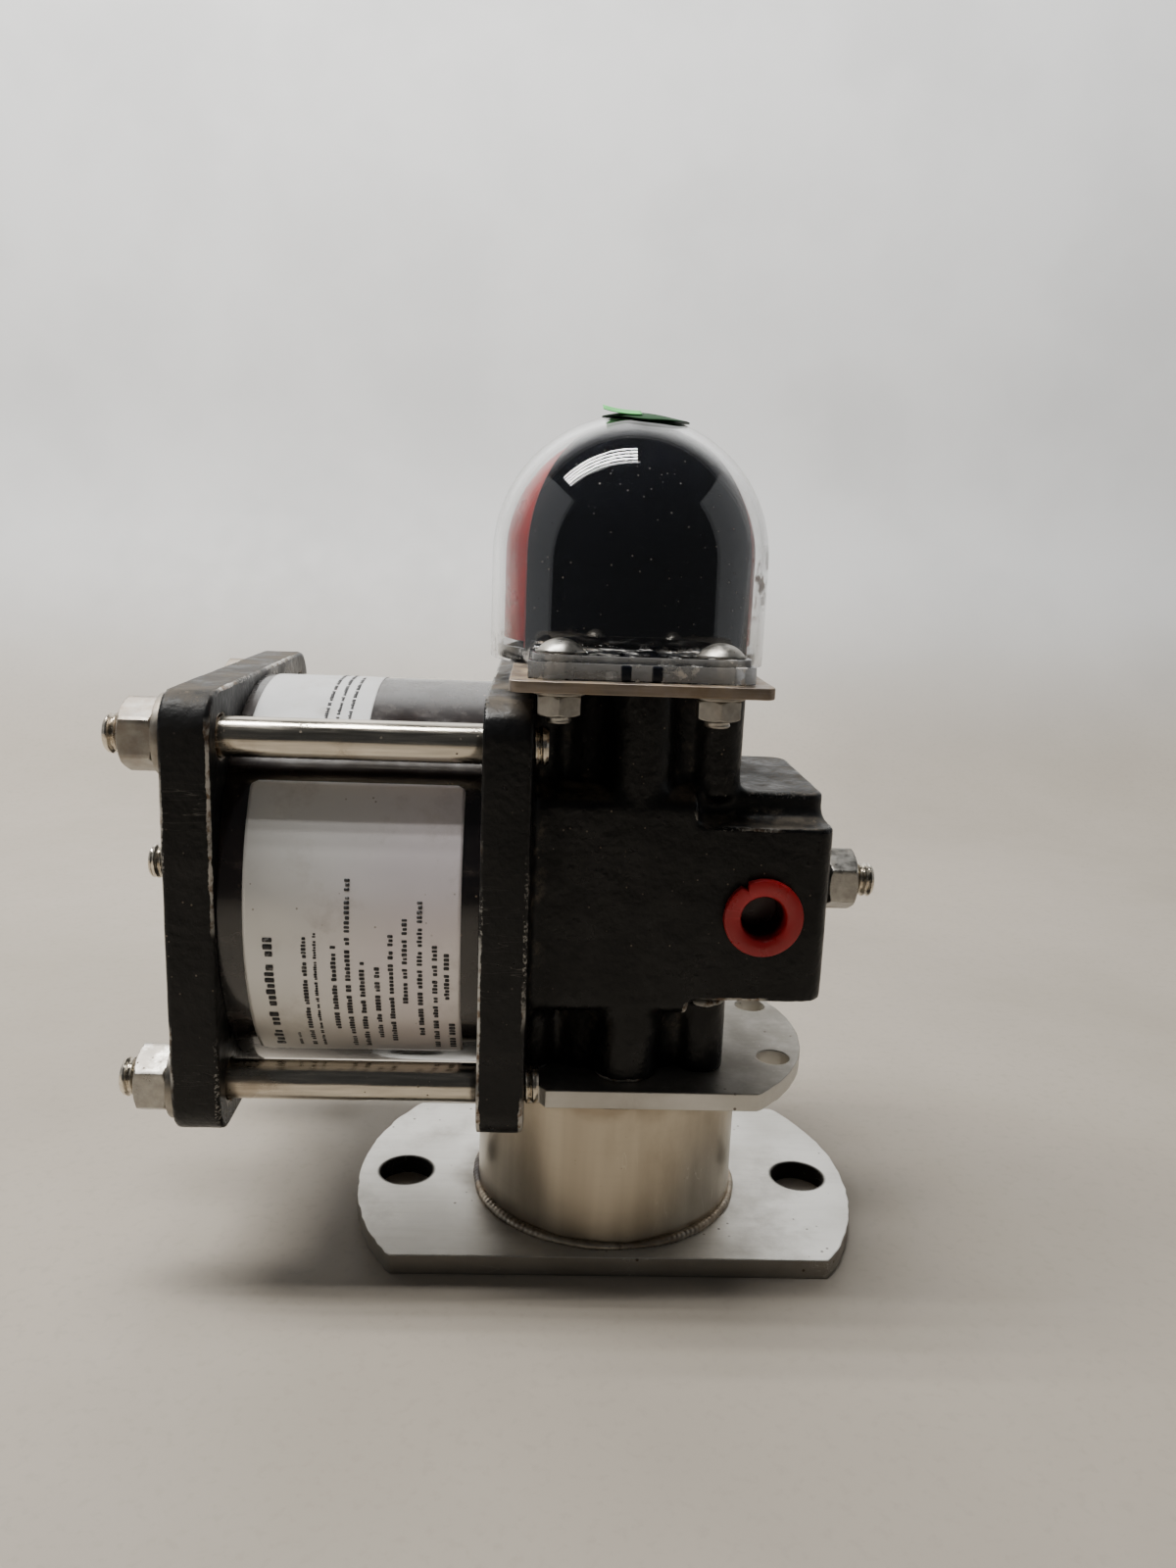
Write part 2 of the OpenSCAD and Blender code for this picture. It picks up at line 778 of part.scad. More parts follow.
module indicator_core() {
    color("#19191b") difference() {
        union() {
            bell_shell(core_r, core_wall, rotor_low_z);
            rod_z(core_r - 0.5, rotor_low_z, rotor_low_z + 2);
            rod_z(8, rotor_low_z, stub_high_z - 0.5);
        }
        difference() {
            rod_z(stub_r + 0.05, rotor_low_z - 1, stub_high_z + 1);
            slab(stub_r - 1.1, stub_r + 1, -stub_r, stub_r, rotor_low_z + 0.2, stub_high_z + 1);
        }
    }
}

// Two opposite coloured quarters of the indicator, the first about angle a
module indicator_panels(a) {
    for (turn = [0, 180]) rotate(turn) intersection() {
        bell_shell(panel_r, panel_wall, rotor_low_z + 0.4);
        wedge(a - 44.8, a + 44.8, rotor_low_z, panel_high_z);
    }
}

module indicator_red_panels() {
    color("#c4262c") indicator_panels(0);
}

module indicator_green_panels() {
    color("#1f8a45") indicator_panels(90);
}

module indicator_screw() {
    color(steel) {
        rod_z(1.95, stub_high_z - 8, stub_high_z + 0.1);
        rod_z(4, stub_high_z + 0.1, stub_high_z + 2.6);
    }
}

// ---- Bracket ----

module bracket_flange() {
    color(steel) difference() {
        intersection() {
            rod_z(flange_d / 2, mount_z - flange_t, mount_z);
            slab(bracket_cut_x, flange_d, -flange_flats / 2, flange_flats / 2,
                 mount_z - flange_t - 1, mount_z + 1);
        }
        rod_z(12.2, mount_z - flange_t - 1, mount_z + 1);
        for (s = [-1, 1]) translate([spare_hole_x, s * spare_hole_spacing / 2, 0])
            rod_z(spare_hole_d / 2, mount_z - flange_t - 1, mount_z + 1);
        at_bolt_circle() rod_z(2.75, mount_z - flange_t - 1, mount_z + 1);
        at_tie_rods() rod_x(tie_rod_d / 2 + 0.4, bracket_cut_x - 1, bracket_cut_x + 3.2);
    }
}

module bracket_pipe() {
    color(steel) difference() {
        ring_z(pipe_d / 2, pipe_d / 2 - pipe_wall, base_t, mount_z - flange_t);
        slab(-pipe_d, bracket_cut_x, -pipe_d, pipe_d, axis_z - plate_side / 2 - 0.6, mount_z);
    }
}

module base_plate() {
    color(steel) difference() {
        intersection() {
            rod_z(base_d / 2, 0, base_t);
            slab(-base_d, base_d, -base_flats / 2, base_flats / 2, -1, base_t + 1);
        }
        rod_z(20, -1, base_t + 1);
        for (s = [-1, 1]) translate([s * base_bolt_spacing / 2, 0, 0])
            rod_z(base_bolt_d / 2, -1, base_t + 1);
    }
}

// Fillet weld round the pipe, with its leg on the plate at height z and rising by rise
module weld_bead(z, rise) {
    rotate_extrude() polygon([[pipe_d / 2, z], [pipe_d / 2 + weld_leg, z], [pipe_d / 2, z + rise]]);
}

module bracket_welds() {
    color("#8a7f70") {
        weld_bead(base_t, weld_leg);
        intersection() {
            weld_bead(mount_z - flange_t, -weld_leg);
            slab(bracket_cut_x, flange_d, -flange_flats / 2, flange_flats / 2, 0, mount_z);
        }
    }
}

module bracket_screws() {
    head_z = mount_z - flange_t;
    color(steel) at_bolt_circle() difference() {
        union() {
            rod_z(2.5, head_z - 1, mount_z + 9);
            rod_z(4.25, head_z - 5, head_z);
        }
        translate([0, 0, head_z - 6]) cylinder(r = 4 / sqrt(3), h = 3.5, $fn = 6);
    }
}

// ---- Labels ----

// Thin curved sheet on the tube from angle a0 to a1, where 0 faces -Y and 90 is the top
module tube_label(x0, x1, a0, a1) {
    reach = 60;
    mid = (a0 + a1) / 2;
    intersection() {
        ring_x(tube_d / 2 + 0.15, tube_d / 2, x0, x1);
        translate([x0 - 1, 0, axis_z]) rotate([90, 0, 90]) linear_extrude(x1 - x0 + 2)
            polygon([[0, 0], reach * [-cos(a0), sin(a0)], reach * [-cos(mid), sin(mid)],
                     reach * [-cos(a1), sin(a1)]]);
    }
}

module front_label() {
    color("#c9c7c2") tube_label(body_face_x - 45, body_face_x - 3.5, -46, 38.2);
}

module top_label() {
    color("#e8e8e6") tube_label(cap_face_x + 2.5, cap_face_x + 26, 56, 112);
}

body_casting();
outer_end_cap();
cylinder_tube();
tube_seals();
tie_rods();
tie_rod_washers();
tie_rod_nuts();
rack();
rack_guides();
piston();
piston_seal();
piston_wear_band();
piston_screw();
pinion_shaft();
lower_bearing();
upper_bearing();
thrust_washers();
shaft_seals();
bearing_retaining_ring();
stem_coupling();
coupling_set_screw();
right_stop_screw();
left_stop_screw();
stop_thread_seals();
stop_lock_nuts();
port_cap();
top_plate();
top_plate_screws();
dome_cover();
dome_screws();
dome_washers();
dome_nuts();
dome_sticker();
indicator_mask();
indicator_core();
indicator_red_panels();
indicator_green_panels();
indicator_screw();
bracket_flange();
bracket_pipe();
base_plate();
bracket_welds();
bracket_screws();
front_label();
top_label();
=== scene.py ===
import math

import bmesh
import bpy
import numpy as np
from mathutils import Matrix, Vector


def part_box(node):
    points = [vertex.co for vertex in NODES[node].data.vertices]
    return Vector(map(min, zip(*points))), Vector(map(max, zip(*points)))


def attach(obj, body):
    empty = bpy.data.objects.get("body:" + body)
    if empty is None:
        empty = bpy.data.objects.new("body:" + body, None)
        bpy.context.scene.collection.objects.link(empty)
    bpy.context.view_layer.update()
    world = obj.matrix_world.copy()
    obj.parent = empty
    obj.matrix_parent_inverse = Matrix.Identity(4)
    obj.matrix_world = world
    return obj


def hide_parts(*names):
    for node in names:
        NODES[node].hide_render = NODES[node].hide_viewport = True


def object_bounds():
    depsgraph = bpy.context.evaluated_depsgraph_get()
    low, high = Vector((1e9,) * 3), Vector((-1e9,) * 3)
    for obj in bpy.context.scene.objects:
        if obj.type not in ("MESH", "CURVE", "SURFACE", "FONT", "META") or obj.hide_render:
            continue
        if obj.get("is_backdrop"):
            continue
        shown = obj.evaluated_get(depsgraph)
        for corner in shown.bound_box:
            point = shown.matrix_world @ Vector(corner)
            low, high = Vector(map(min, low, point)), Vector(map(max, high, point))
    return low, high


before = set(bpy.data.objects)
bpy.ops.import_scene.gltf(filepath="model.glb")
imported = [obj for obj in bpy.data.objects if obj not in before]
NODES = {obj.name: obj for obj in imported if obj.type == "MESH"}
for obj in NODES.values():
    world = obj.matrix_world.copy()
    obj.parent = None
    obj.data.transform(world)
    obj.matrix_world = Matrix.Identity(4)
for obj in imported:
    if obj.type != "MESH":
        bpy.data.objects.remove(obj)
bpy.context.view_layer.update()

MM = 0.001
AXES = {"X": ((1, 0, 0), (0, 1, 0), (0, 0, 1)),
        "Y": ((0, 1, 0), (0, 0, 1), (1, 0, 0)),
        "Z": ((0, 0, 1), (1, 0, 0), (0, 1, 0))}


def box_mm(node):
    """Lowest and highest corner of a CAD node, in millimetres."""
    low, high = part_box(node)
    return np.array(low) / MM, np.array(high) / MM


# ---- Sizes read from the frame, in millimetres ----

BODY_LO, BODY_HI = box_mm("body_casting")
TUBE_LO, TUBE_HI = box_mm("cylinder_tube")
ROD_LO, ROD_HI = box_mm("tie_rods")
NUT_LO, NUT_HI = box_mm("tie_rod_nuts")
WASHER_LO, WASHER_HI = box_mm("tie_rod_washers")
FLANGE_LO, FLANGE_HI = box_mm("bracket_flange")
PIPE_LO, PIPE_HI = box_mm("bracket_pipe")
BASE_LO, BASE_HI = box_mm("base_plate")
TOP_LO, TOP_HI = box_mm("top_plate")
DOME_LO, DOME_HI = box_mm("dome_cover")
MASK_LO = box_mm("indicator_mask")[0]
PORT_LO, PORT_HI = box_mm("port_cap")
AXIS_Z = (TUBE_LO[2] + TUBE_HI[2]) / 2
TUBE_R = (TUBE_HI[1] - TUBE_LO[1]) / 2
CAP_FACE_X = TUBE_LO[0]
BODY_FACE_X = TUBE_HI[0]
ROD_R = 3.97
ROD_HALF = ROD_HI[1] - ROD_R
BODY_BACK_X = ROD_HI[0] - 2.9
DOME_R = (DOME_HI[0] - DOME_LO[0]) / 2
DOME_CENTRE_Z = DOME_HI[2] - DOME_R
THREAD_PITCH = 1.41
NUT_AF = 12.7
HEX_TURN = math.pi / 6
TUBE_WALL = 4.75
DOME_WALL = 1.4
SOCKET_AF = 3.97
LOCK_NUT_LENGTH = 6.75
SEAL_LENGTH = 1.5
BASE_BOLT_X = 47.625
FRONT_SPAN = (-46, 38.2)
TOP_SPAN = (56, 112)


# ---- Noise for shaping meshes ----

def value_noise(points, size, seed):
    """Smooth noise from -1 to 1 at each point, with cells of the given size."""
    scaled = points / size + seed * 17.31
    cell = np.floor(scaled).astype(np.int64)
    part = scaled - cell
    part = part * part * (3 - 2 * part)
    total = np.zeros(len(points))
    for dx in (0, 1):
        for dy in (0, 1):
            for dz in (0, 1):
                key = (cell[:, 0] + dx) * 73856093
                key = key ^ ((cell[:, 1] + dy) * 19349663)
                key = key ^ ((cell[:, 2] + dz) * 83492791)
                key = (key ^ (key >> 13)) * 1274126177
                value = ((key ^ (key >> 16)) & 0xFFFF) / 32767.5 - 1
                wx = part[:, 0] if dx else 1 - part[:, 0]
                wy = part[:, 1] if dy else 1 - part[:, 1]
                wz = part[:, 2] if dz else 1 - part[:, 2]
                total += value * wx * wy * wz
    return total


# ---- Shapes: each is (vertices in mm, faces) ----

def grid_faces(rows, row_size, wrap=True, closed=False):
    """Quads between rows of points. wrap joins a row's ends, closed joins the last row to the first."""
    faces = []
    for i in range(rows if closed else rows - 1):
        j = (i + 1) % rows
        for k in range(row_size if wrap else row_size - 1):
            m = (k + 1) % row_size
            faces.append((i * row_size + k, i * row_size + m, j * row_size + m, j * row_size + k))
    return faces


def rings(stations, radii, axis="Z", origin=(0, 0, 0), segments=64, closed=False):
    """A skin through rings about an axis; a radius may be a number or one number per segment."""
    along, side, up = (np.array(v, float) for v in AXES[axis])
    theta = np.arange(segments) * 2 * math.pi / segments
    around = np.cos(theta)[:, None] * side + np.sin(theta)[:, None] * up
    verts = []
    for station, radius in zip(stations, radii):
        reach = np.broadcast_to(np.asarray(radius, float), (segments,))
        verts.append(np.array(origin, float) + along * station + around * reach[:, None])
    return np.concatenate(verts), grid_faces(len(stations), segments, closed=closed)


def merged(shapes):
    """Several shapes as one."""
    verts, faces, offset = [], [], 0
    for shape_verts, shape_faces in shapes:
        verts.append(shape_verts)
        faces.extend(tuple(i + offset for i in f) for f in shape_faces)
        offset += len(shape_verts)
    return np.concatenate(verts), faces


def arc(cx, cy, r, a0, a1, steps):
    """Points on an arc, in degrees."""
    angles = np.radians(np.linspace(a0, a1, steps))
    return [(cx + r * math.cos(a), cy + r * math.sin(a)) for a in angles]


def hex_radii(af, segments, turn=0.0):
    """Radius of a hexagon with slightly worn corners, per segment."""
    theta = np.arange(segments) * 2 * math.pi / segments + turn
    part = np.mod(theta, math.pi / 3) - math.pi / 6
    return np.minimum(af / 2 / np.cos(part), af / math.sqrt(3) * 0.985)


def hex_nut(x0, x1, af, bore, origin, turn=0.0, axis="X", segments=96):
    """Hexagon nut with conical chamfers on both faces and a countersunk bore."""
    outline = hex_radii(af, segments, turn)
    steps = [0, 0.04, 0.12, 0.22, 0.34, 0.48, 0.64, 0.8]
    stations, radii = [], []
    for s in steps:
        stations.append(x0 + s)
        radii.append(np.minimum(outline, af / 2 * 0.955 + s * 1.75))
    for s in reversed(steps):
        stations.append(x1 - s)
        radii.append(np.minimum(outline, af / 2 * 0.955 + s * 1.75))
    stations += [x1, x1 - 0.45, x0 + 0.45, x0]
    radii += [bore + 0.5, bore, bore, bore + 0.5]
    return rings(stations, radii, axis, origin, segments, closed=True)


def washer(x0, x1, r_out, r_in, origin, axis="X", segments=72, edge=0.25):
    """Flat ring with eased outer edges."""
    stations = [x0, x0 + edge * 0.3, x0 + edge, x1 - edge, x1 - edge * 0.3, x1, x1, x0]
    radii = [r_out - edge, r_out - edge * 0.3, r_out, r_out, r_out - edge * 0.3, r_out - edge,
             r_in, r_in]
    return rings(stations, radii, axis, origin, segments, closed=True)


def threaded(x0, x1, r, spans, origin, axis="X", segments=48, chamfer=0.7, depth=0.55,
             socket=None):
    """Rod with helical threads inside each span, chamfered ends, and, if a socket size is given, a hex
    socket at one end.
    """
    marks = [x0, x0 + chamfer * 0.5, x0 + chamfer, x1 - chamfer, x1 - chamfer * 0.5, x1]
    for a, b in spans:
        marks.extend(np.arange(a, b, THREAD_PITCH / 10))
    marks = [m for m in sorted(marks) if x0 <= m <= x1]
    theta = np.arange(segments) / segments
    stations, radii = [x0], [np.zeros(segments)]
    if socket is not None:
        wall = hex_radii(socket, segments)
        stations = [x0 + 4, x0 + 4, x0 + 0.2]
        radii = [np.zeros(segments), wall, wall]
    for m in marks:
        limit = r - max(0.0, chamfer - (m - x0), chamfer - (x1 - m)) * 0.8
        reach = np.full(segments, float(limit))
        for a, b in spans:
            if a <= m <= b:
                fade = min(1.0, (m - a) / THREAD_PITCH + 0.1, (b - m) / THREAD_PITCH + 0.1)
                turn = np.mod(m / THREAD_PITCH - theta, 1.0)
                groove = np.clip(1.25 * (1 - np.abs(2 * turn - 1)) - 0.12, 0, 1)
                reach = np.minimum(reach, r - depth * fade * groove)
        stations.append(m)
        radii.append(reach)
    stations.append(x1)
    radii.append(np.zeros(segments))
    return rings(stations, radii, axis, origin, segments)


def sheet_on_tube(x0, x1, a0, a1, r, corner=2.0, rows=90, columns=60, lift=None):
    """Curved sheet with round corners on the tube; angle 0 faces -Y and 90 is the top."""
    verts = []
    length = math.radians(a1 - a0) * r
    for i in range(rows + 1):
        part = i / rows
        edge = min(part, 1 - part) * length
        inset = 0.0
        if edge < corner:
            inset = corner - math.sqrt(max(0.0, corner ** 2 - (corner - edge) ** 2))
        angle = math.radians(a0 + (a1 - a0) * part)
        for j in range(columns + 1):
            x = x0 + inset + (x1 - x0 - 2 * inset) * j / columns
            reach = r
            if lift is not None:
                reach += lift(part, j / columns)
            verts.append((x, -reach * math.cos(angle), AXIS_Z + reach * math.sin(angle)))
    return np.array(verts), grid_faces(rows + 1, columns + 1, wrap=False)


# ---- Objects ----

def tidy_mesh(mesh, weld=1e-7):
    """Welds doubled points, drops empty edges and loose points, and turns the normals outwards."""
    bm = bmesh.new()
    bm.from_mesh(mesh)
    bmesh.ops.remove_doubles(bm, verts=bm.verts, dist=weld)
    bmesh.ops.dissolve_degenerate(bm, edges=bm.edges, dist=weld)
    loose = [v for v in bm.verts if not v.link_faces]
    bmesh.ops.delete(bm, geom=loose, context="VERTS")
    bmesh.ops.recalc_face_normals(bm, faces=bm.faces)
    bm.to_mesh(mesh)
    bm.free()


def dress(obj, material, body, nodes, crease=32):
    """Shades a new piece, gives it its material, and joins it to the frame."""
    mesh = obj.data
    mesh.materials.clear()
    mesh.materials.append(material)
    mesh.shade_smooth()
    if crease is not None:
        mesh.set_sharp_from_angle(angle=math.radians(crease))
    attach(obj, body)
    if nodes:
        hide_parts(*nodes)
    return obj


def added(name, data):
    """A new object in the scene."""
    obj = bpy.data.objects.new(name, data)
    bpy.context.scene.collection.objects.link(obj)
    return obj


def piece(name, shape, material, body="housing", nodes=(), crease=32, weld=1e-7):
    """A new piece of the object from a shape in millimetres, dressed and riding on its body."""
    verts, faces = shape
    mesh = bpy.data.meshes.new(name)
    mesh.from_pydata([tuple(v) for v in np.asarray(verts, float) * MM], [], faces)
    obj = added(name, mesh)
    tidy_mesh(mesh, weld)
    return dress(obj, material, body, nodes, crease)


def thicken(obj, thickness, offset):
    """Gives a sheet its thickness, in millimetres."""
    solid = obj.modifiers.new("Thickness", "SOLIDIFY")
    solid.thickness = thickness * MM
    solid.offset = offset


def baked(obj):
    """The object's mesh with its modifiers applied."""
    bpy.context.view_layer.update()
    graph = bpy.context.evaluated_depsgraph_get()
    mesh = bpy.data.meshes.new_from_object(obj.evaluated_get(graph))
    obj.modifiers.clear()
    old = obj.data
    obj.data = mesh
    if old.users == 0 and isinstance(old, bpy.types.Mesh):
        bpy.data.meshes.remove(old)
    return mesh


def plate(name, loops, z0, z1, edge, material, nodes):
    """Flat plate with round edges and holes, from closed loops of points in the XY plane."""
    curve = bpy.data.curves.new(name + "_outline", "CURVE")
    curve.dimensions = "2D"
    curve.fill_mode = "BOTH"
    curve.extrude = ((z1 - z0) / 2 - edge) * MM
    curve.bevel_depth = edge * MM
    curve.bevel_resolution = 3
    curve.offset = -edge * MM
    for loop in loops:
        spline = curve.splines.new("POLY")
        spline.points.add(len(loop) - 1)
        for point, (x, y) in zip(spline.points, loop):
            point.co = (x * MM, y * MM, 0, 1)
        spline.use_cyclic_u = True
    shaper = added(name + "_shaper", curve)
    bpy.context.view_layer.update()
    graph = bpy.context.evaluated_depsgraph_get()
    mesh = bpy.data.meshes.new_from_object(shaper.evaluated_get(graph))
    bpy.data.objects.remove(shaper)
    bpy.data.curves.remove(curve)
    mesh.name = name
    mesh.transform(Matrix.Translation((0, 0, (z0 + z1) / 2 * MM)))
    obj = added(name, mesh)
    tidy_mesh(mesh, 2e-6)
    dress(obj, material, "housing", nodes, 50)
    weighted = obj.modifiers.new("Flat faces", "WEIGHTED_NORMAL")
    weighted.keep_sharp = True
    return obj


def spaced(points, step=1.5):
    """A closed outline with more points along its long sides."""
    out = []
    for i, p in enumerate(points):
        q = points[(i + 1) % len(points)]
        parts = max(1, int(math.hypot(q[0] - p[0], q[1] - p[1]) / step))
        for k in range(parts):
            t = k / parts
            out.append((p[0] + (q[0] - p[0]) * t, p[1] + (q[1] - p[1]) * t))
    return out


def circle_loop(x, y, r, count=72, wobble=0.0, seed=0):
    """Round outline, slightly uneven if asked."""
    angles = np.arange(count) * 2 * math.pi / count
    points = np.stack([np.cos(angles) * 3, np.sin(angles) * 3, np.full(count, seed * 5.0)], 1)
    reach = r + wobble * value_noise(points, 1.0, seed)
    return [(x + q * math.cos(a), y + q * math.sin(a)) for q, a in zip(reach, angles)]


def cut_circle(r, half_y, seed, rough, cut_x=None, count=200):
    """Uneven round outline cut by two flats across Y, and by a straight cut on the left if asked."""
    points = []
    for i in range(count):
        a = 2 * math.pi * i / count
        x = r * math.cos(a)
        y = max(-half_y, min(half_y, r * math.sin(a)))
        points.append((x, y))
    if cut_x is not None:
        points = [(max(x, cut_x), y) for x, y in points]
    out = spaced(points)
    cleaned = [out[0]]
    for p in out[1:]:
        if math.hypot(p[0] - cleaned[-1][0], p[1] - cleaned[-1][1]) > 0.2:
            cleaned.append(p)
    flat = np.array([(x, y, 0.0) for x, y in cleaned])
    push = rough * value_noise(flat, 2.2, seed) + rough * 0.6 * value_noise(flat, 0.8, seed + 3)
    return [(x * (1 - abs(p) / r), y * (1 - abs(p) / r * (abs(y) < half_y - 0.1)))
            for (x, y), p in zip(cleaned, push)]


def rect_loop(w, h, r, wobble, seed=5, count=8):
    """Uneven outline of a rectangle with round corners."""
    points = []
    for cx, cy, a0 in ((w / 2 - r, h / 2 - r, 0), (-w / 2 + r, h / 2 - r, 90),
                       (-w / 2 + r, -h / 2 + r, 180), (w / 2 - r, -h / 2 + r, 270)):
        points.extend(arc(cx, cy, r, a0, a0 + 90, count))
    out = spaced(points)
    flat = np.array([(x, y, 0.0) for x, y in out])
    push = 1 - np.abs(value_noise(flat, 2.0, seed)) * wobble / (w / 2)
    return [(x * k, y * k) for (x, y), k in zip(out, push)]


# ---- Materials ----

class Look:
    """A node material around one Principled shader."""

    def __init__(self, name, **constants):
        self.material = bpy.data.materials.new(name)
        self.material.use_nodes = True
        self.tree = self.material.node_tree
        self.shader = self.tree.nodes["Principled BSDF"]
        for key, value in constants.items():
            self.shader.inputs[key.replace("_", " ")].default_value = value
        self.coords = self.tree.nodes.new("ShaderNodeTexCoord").outputs["Object"]

    def _plug(self, socket, value):
        """Links a socket, or sets its value."""
        if isinstance(value, bpy.types.NodeSocket):
            self.tree.links.new(value, socket)
        elif isinstance(value, (tuple, list)) and len(value) == 3 and socket.type == "RGBA":
            socket.default_value = (*value, 1)
        else:
            socket.default_value = value

    def set(self, key, value):
        """Links or sets one socket of the shader."""
        self._plug(self.shader.inputs[key], value)

    def node(self, kind, inputs, **settings):
        """Outputs of a new shader node. settings are its properties, inputs its sockets."""
        made = self.tree.nodes.new("ShaderNode" + kind)
        for key, value in settings.items():
            setattr(made, key, value)
        for key, value in inputs.items():
            self._plug(made.inputs[key], value)
        return made.outputs

    def stretch(self, scale, turn=(0, 0, 0)):
        """Object coordinates, scaled and turned."""
        return self.node("Mapping", {"Vector": self.coords, "Scale": scale, "Rotation": turn})["Vector"]

    def noise(self, scale, detail=3.0, rough=0.55, vector=None):
        """Noise from 0 to 1, with scale in cells per metre."""
        return self.node("TexNoise", {"Vector": vector or self.coords, "Scale": scale,
                                      "Detail": detail, "Roughness": rough})["Fac"]

    def ramp(self, value, low, high, out_low=0.0, out_high=1.0):
        """A smooth step from one output to the other between two limits."""
        return self.node("MapRange", {"Value": value, "From Min": low, "From Max": high,
                                      "To Min": out_low, "To Max": out_high},
                         interpolation_type="SMOOTHSTEP")["Result"]

    def cloud(self, noise, *limits):
        """Noise of these settings, ramped."""
        return self.ramp(self.noise(*noise), *limits)

    def spots(self, scale, near, far):
        """Small round spots, one to a cell."""
        return self.ramp(self.node("TexVoronoi", {"Vector": self.coords, "Scale": scale})["Distance"],
                         near, far, 1.0, 0.0)

    def specks(self, scale, near, far, noise, *limits):
        """Small round spots in patches."""
        return self.times(self.spots(scale, near, far), self.cloud(noise, *limits))

    def math(self, operation, a, b=0.0):
        return self.node("Math", {0: a, 1: b}, operation=operation)["Value"]

    def times(self, a, b):
        return self.math("MULTIPLY", a, b)

    def most(self, a, b):
        return self.math("MAXIMUM", a, b)

    def mix(self, share, a, b, kind="RGBA"):
        """Colour a where share is 0 and b where it is 1."""
        return self.node("Mix", {"Factor": share, "A": a, "B": b}, data_type=kind)["Result"]

    def blend(self, share, a, b):
        """Number a where share is 0 and b where it is 1."""
        return self.mix(share, a, b, "FLOAT")

    def tint(self, base, share, amount, colour):
        """The base colour with some of another where share is 1."""
        return self.mix(self.times(share, amount), base, colour)

    def shift(self, base, share, amount, value):
        """The base number drawn towards another where share is 1."""
        return self.blend(self.times(share, amount), base, value)

    def attribute(self, name):
        """A number kept on the mesh's points."""
        return self.node("Attribute", {}, attribute_name=name)["Fac"]

    def axis(self, letter):
        """One object coordinate, in metres."""
        return self.node("SeparateXYZ", {"Vector": self.coords})[letter]

    def facing(self, letter):
        """One part of the surface normal."""
        normal = self.node("NewGeometry", {})["Normal"]
        return self.node("SeparateXYZ", {"Vector": normal})[letter]

    def bump(self, height, strength, distance, under=None):
        """A normal from a height, over another normal if given."""
        inputs = {"Strength": strength, "Distance": distance, "Height": height}
        if under is not None:
            inputs["Normal"] = under
        return self.node("Bump", inputs)["Normal"]

    def done(self, base, rough, normal):
        """Sets the three main sockets and gives the material."""
        self.set("Base Color", base)
        self.set("Roughness", rough)
        self.set("Normal", normal)
        return self.material

    def scratches(self, scale, stretch, turn, width, patch_scale, patch_low=0.5):
        """Thin broken lines along one direction, from 0 to 1."""
        lines = self.noise(scale, 2.0, 0.5, self.stretch(stretch, turn))
        line = self.ramp(self.math("ABSOLUTE", self.math("SUBTRACT", lines, 0.5)), 0.0, width, 1.0, 0.0)
        return self.times(line, self.cloud((patch_scale, 3.0), patch_low, patch_low + 0.12))


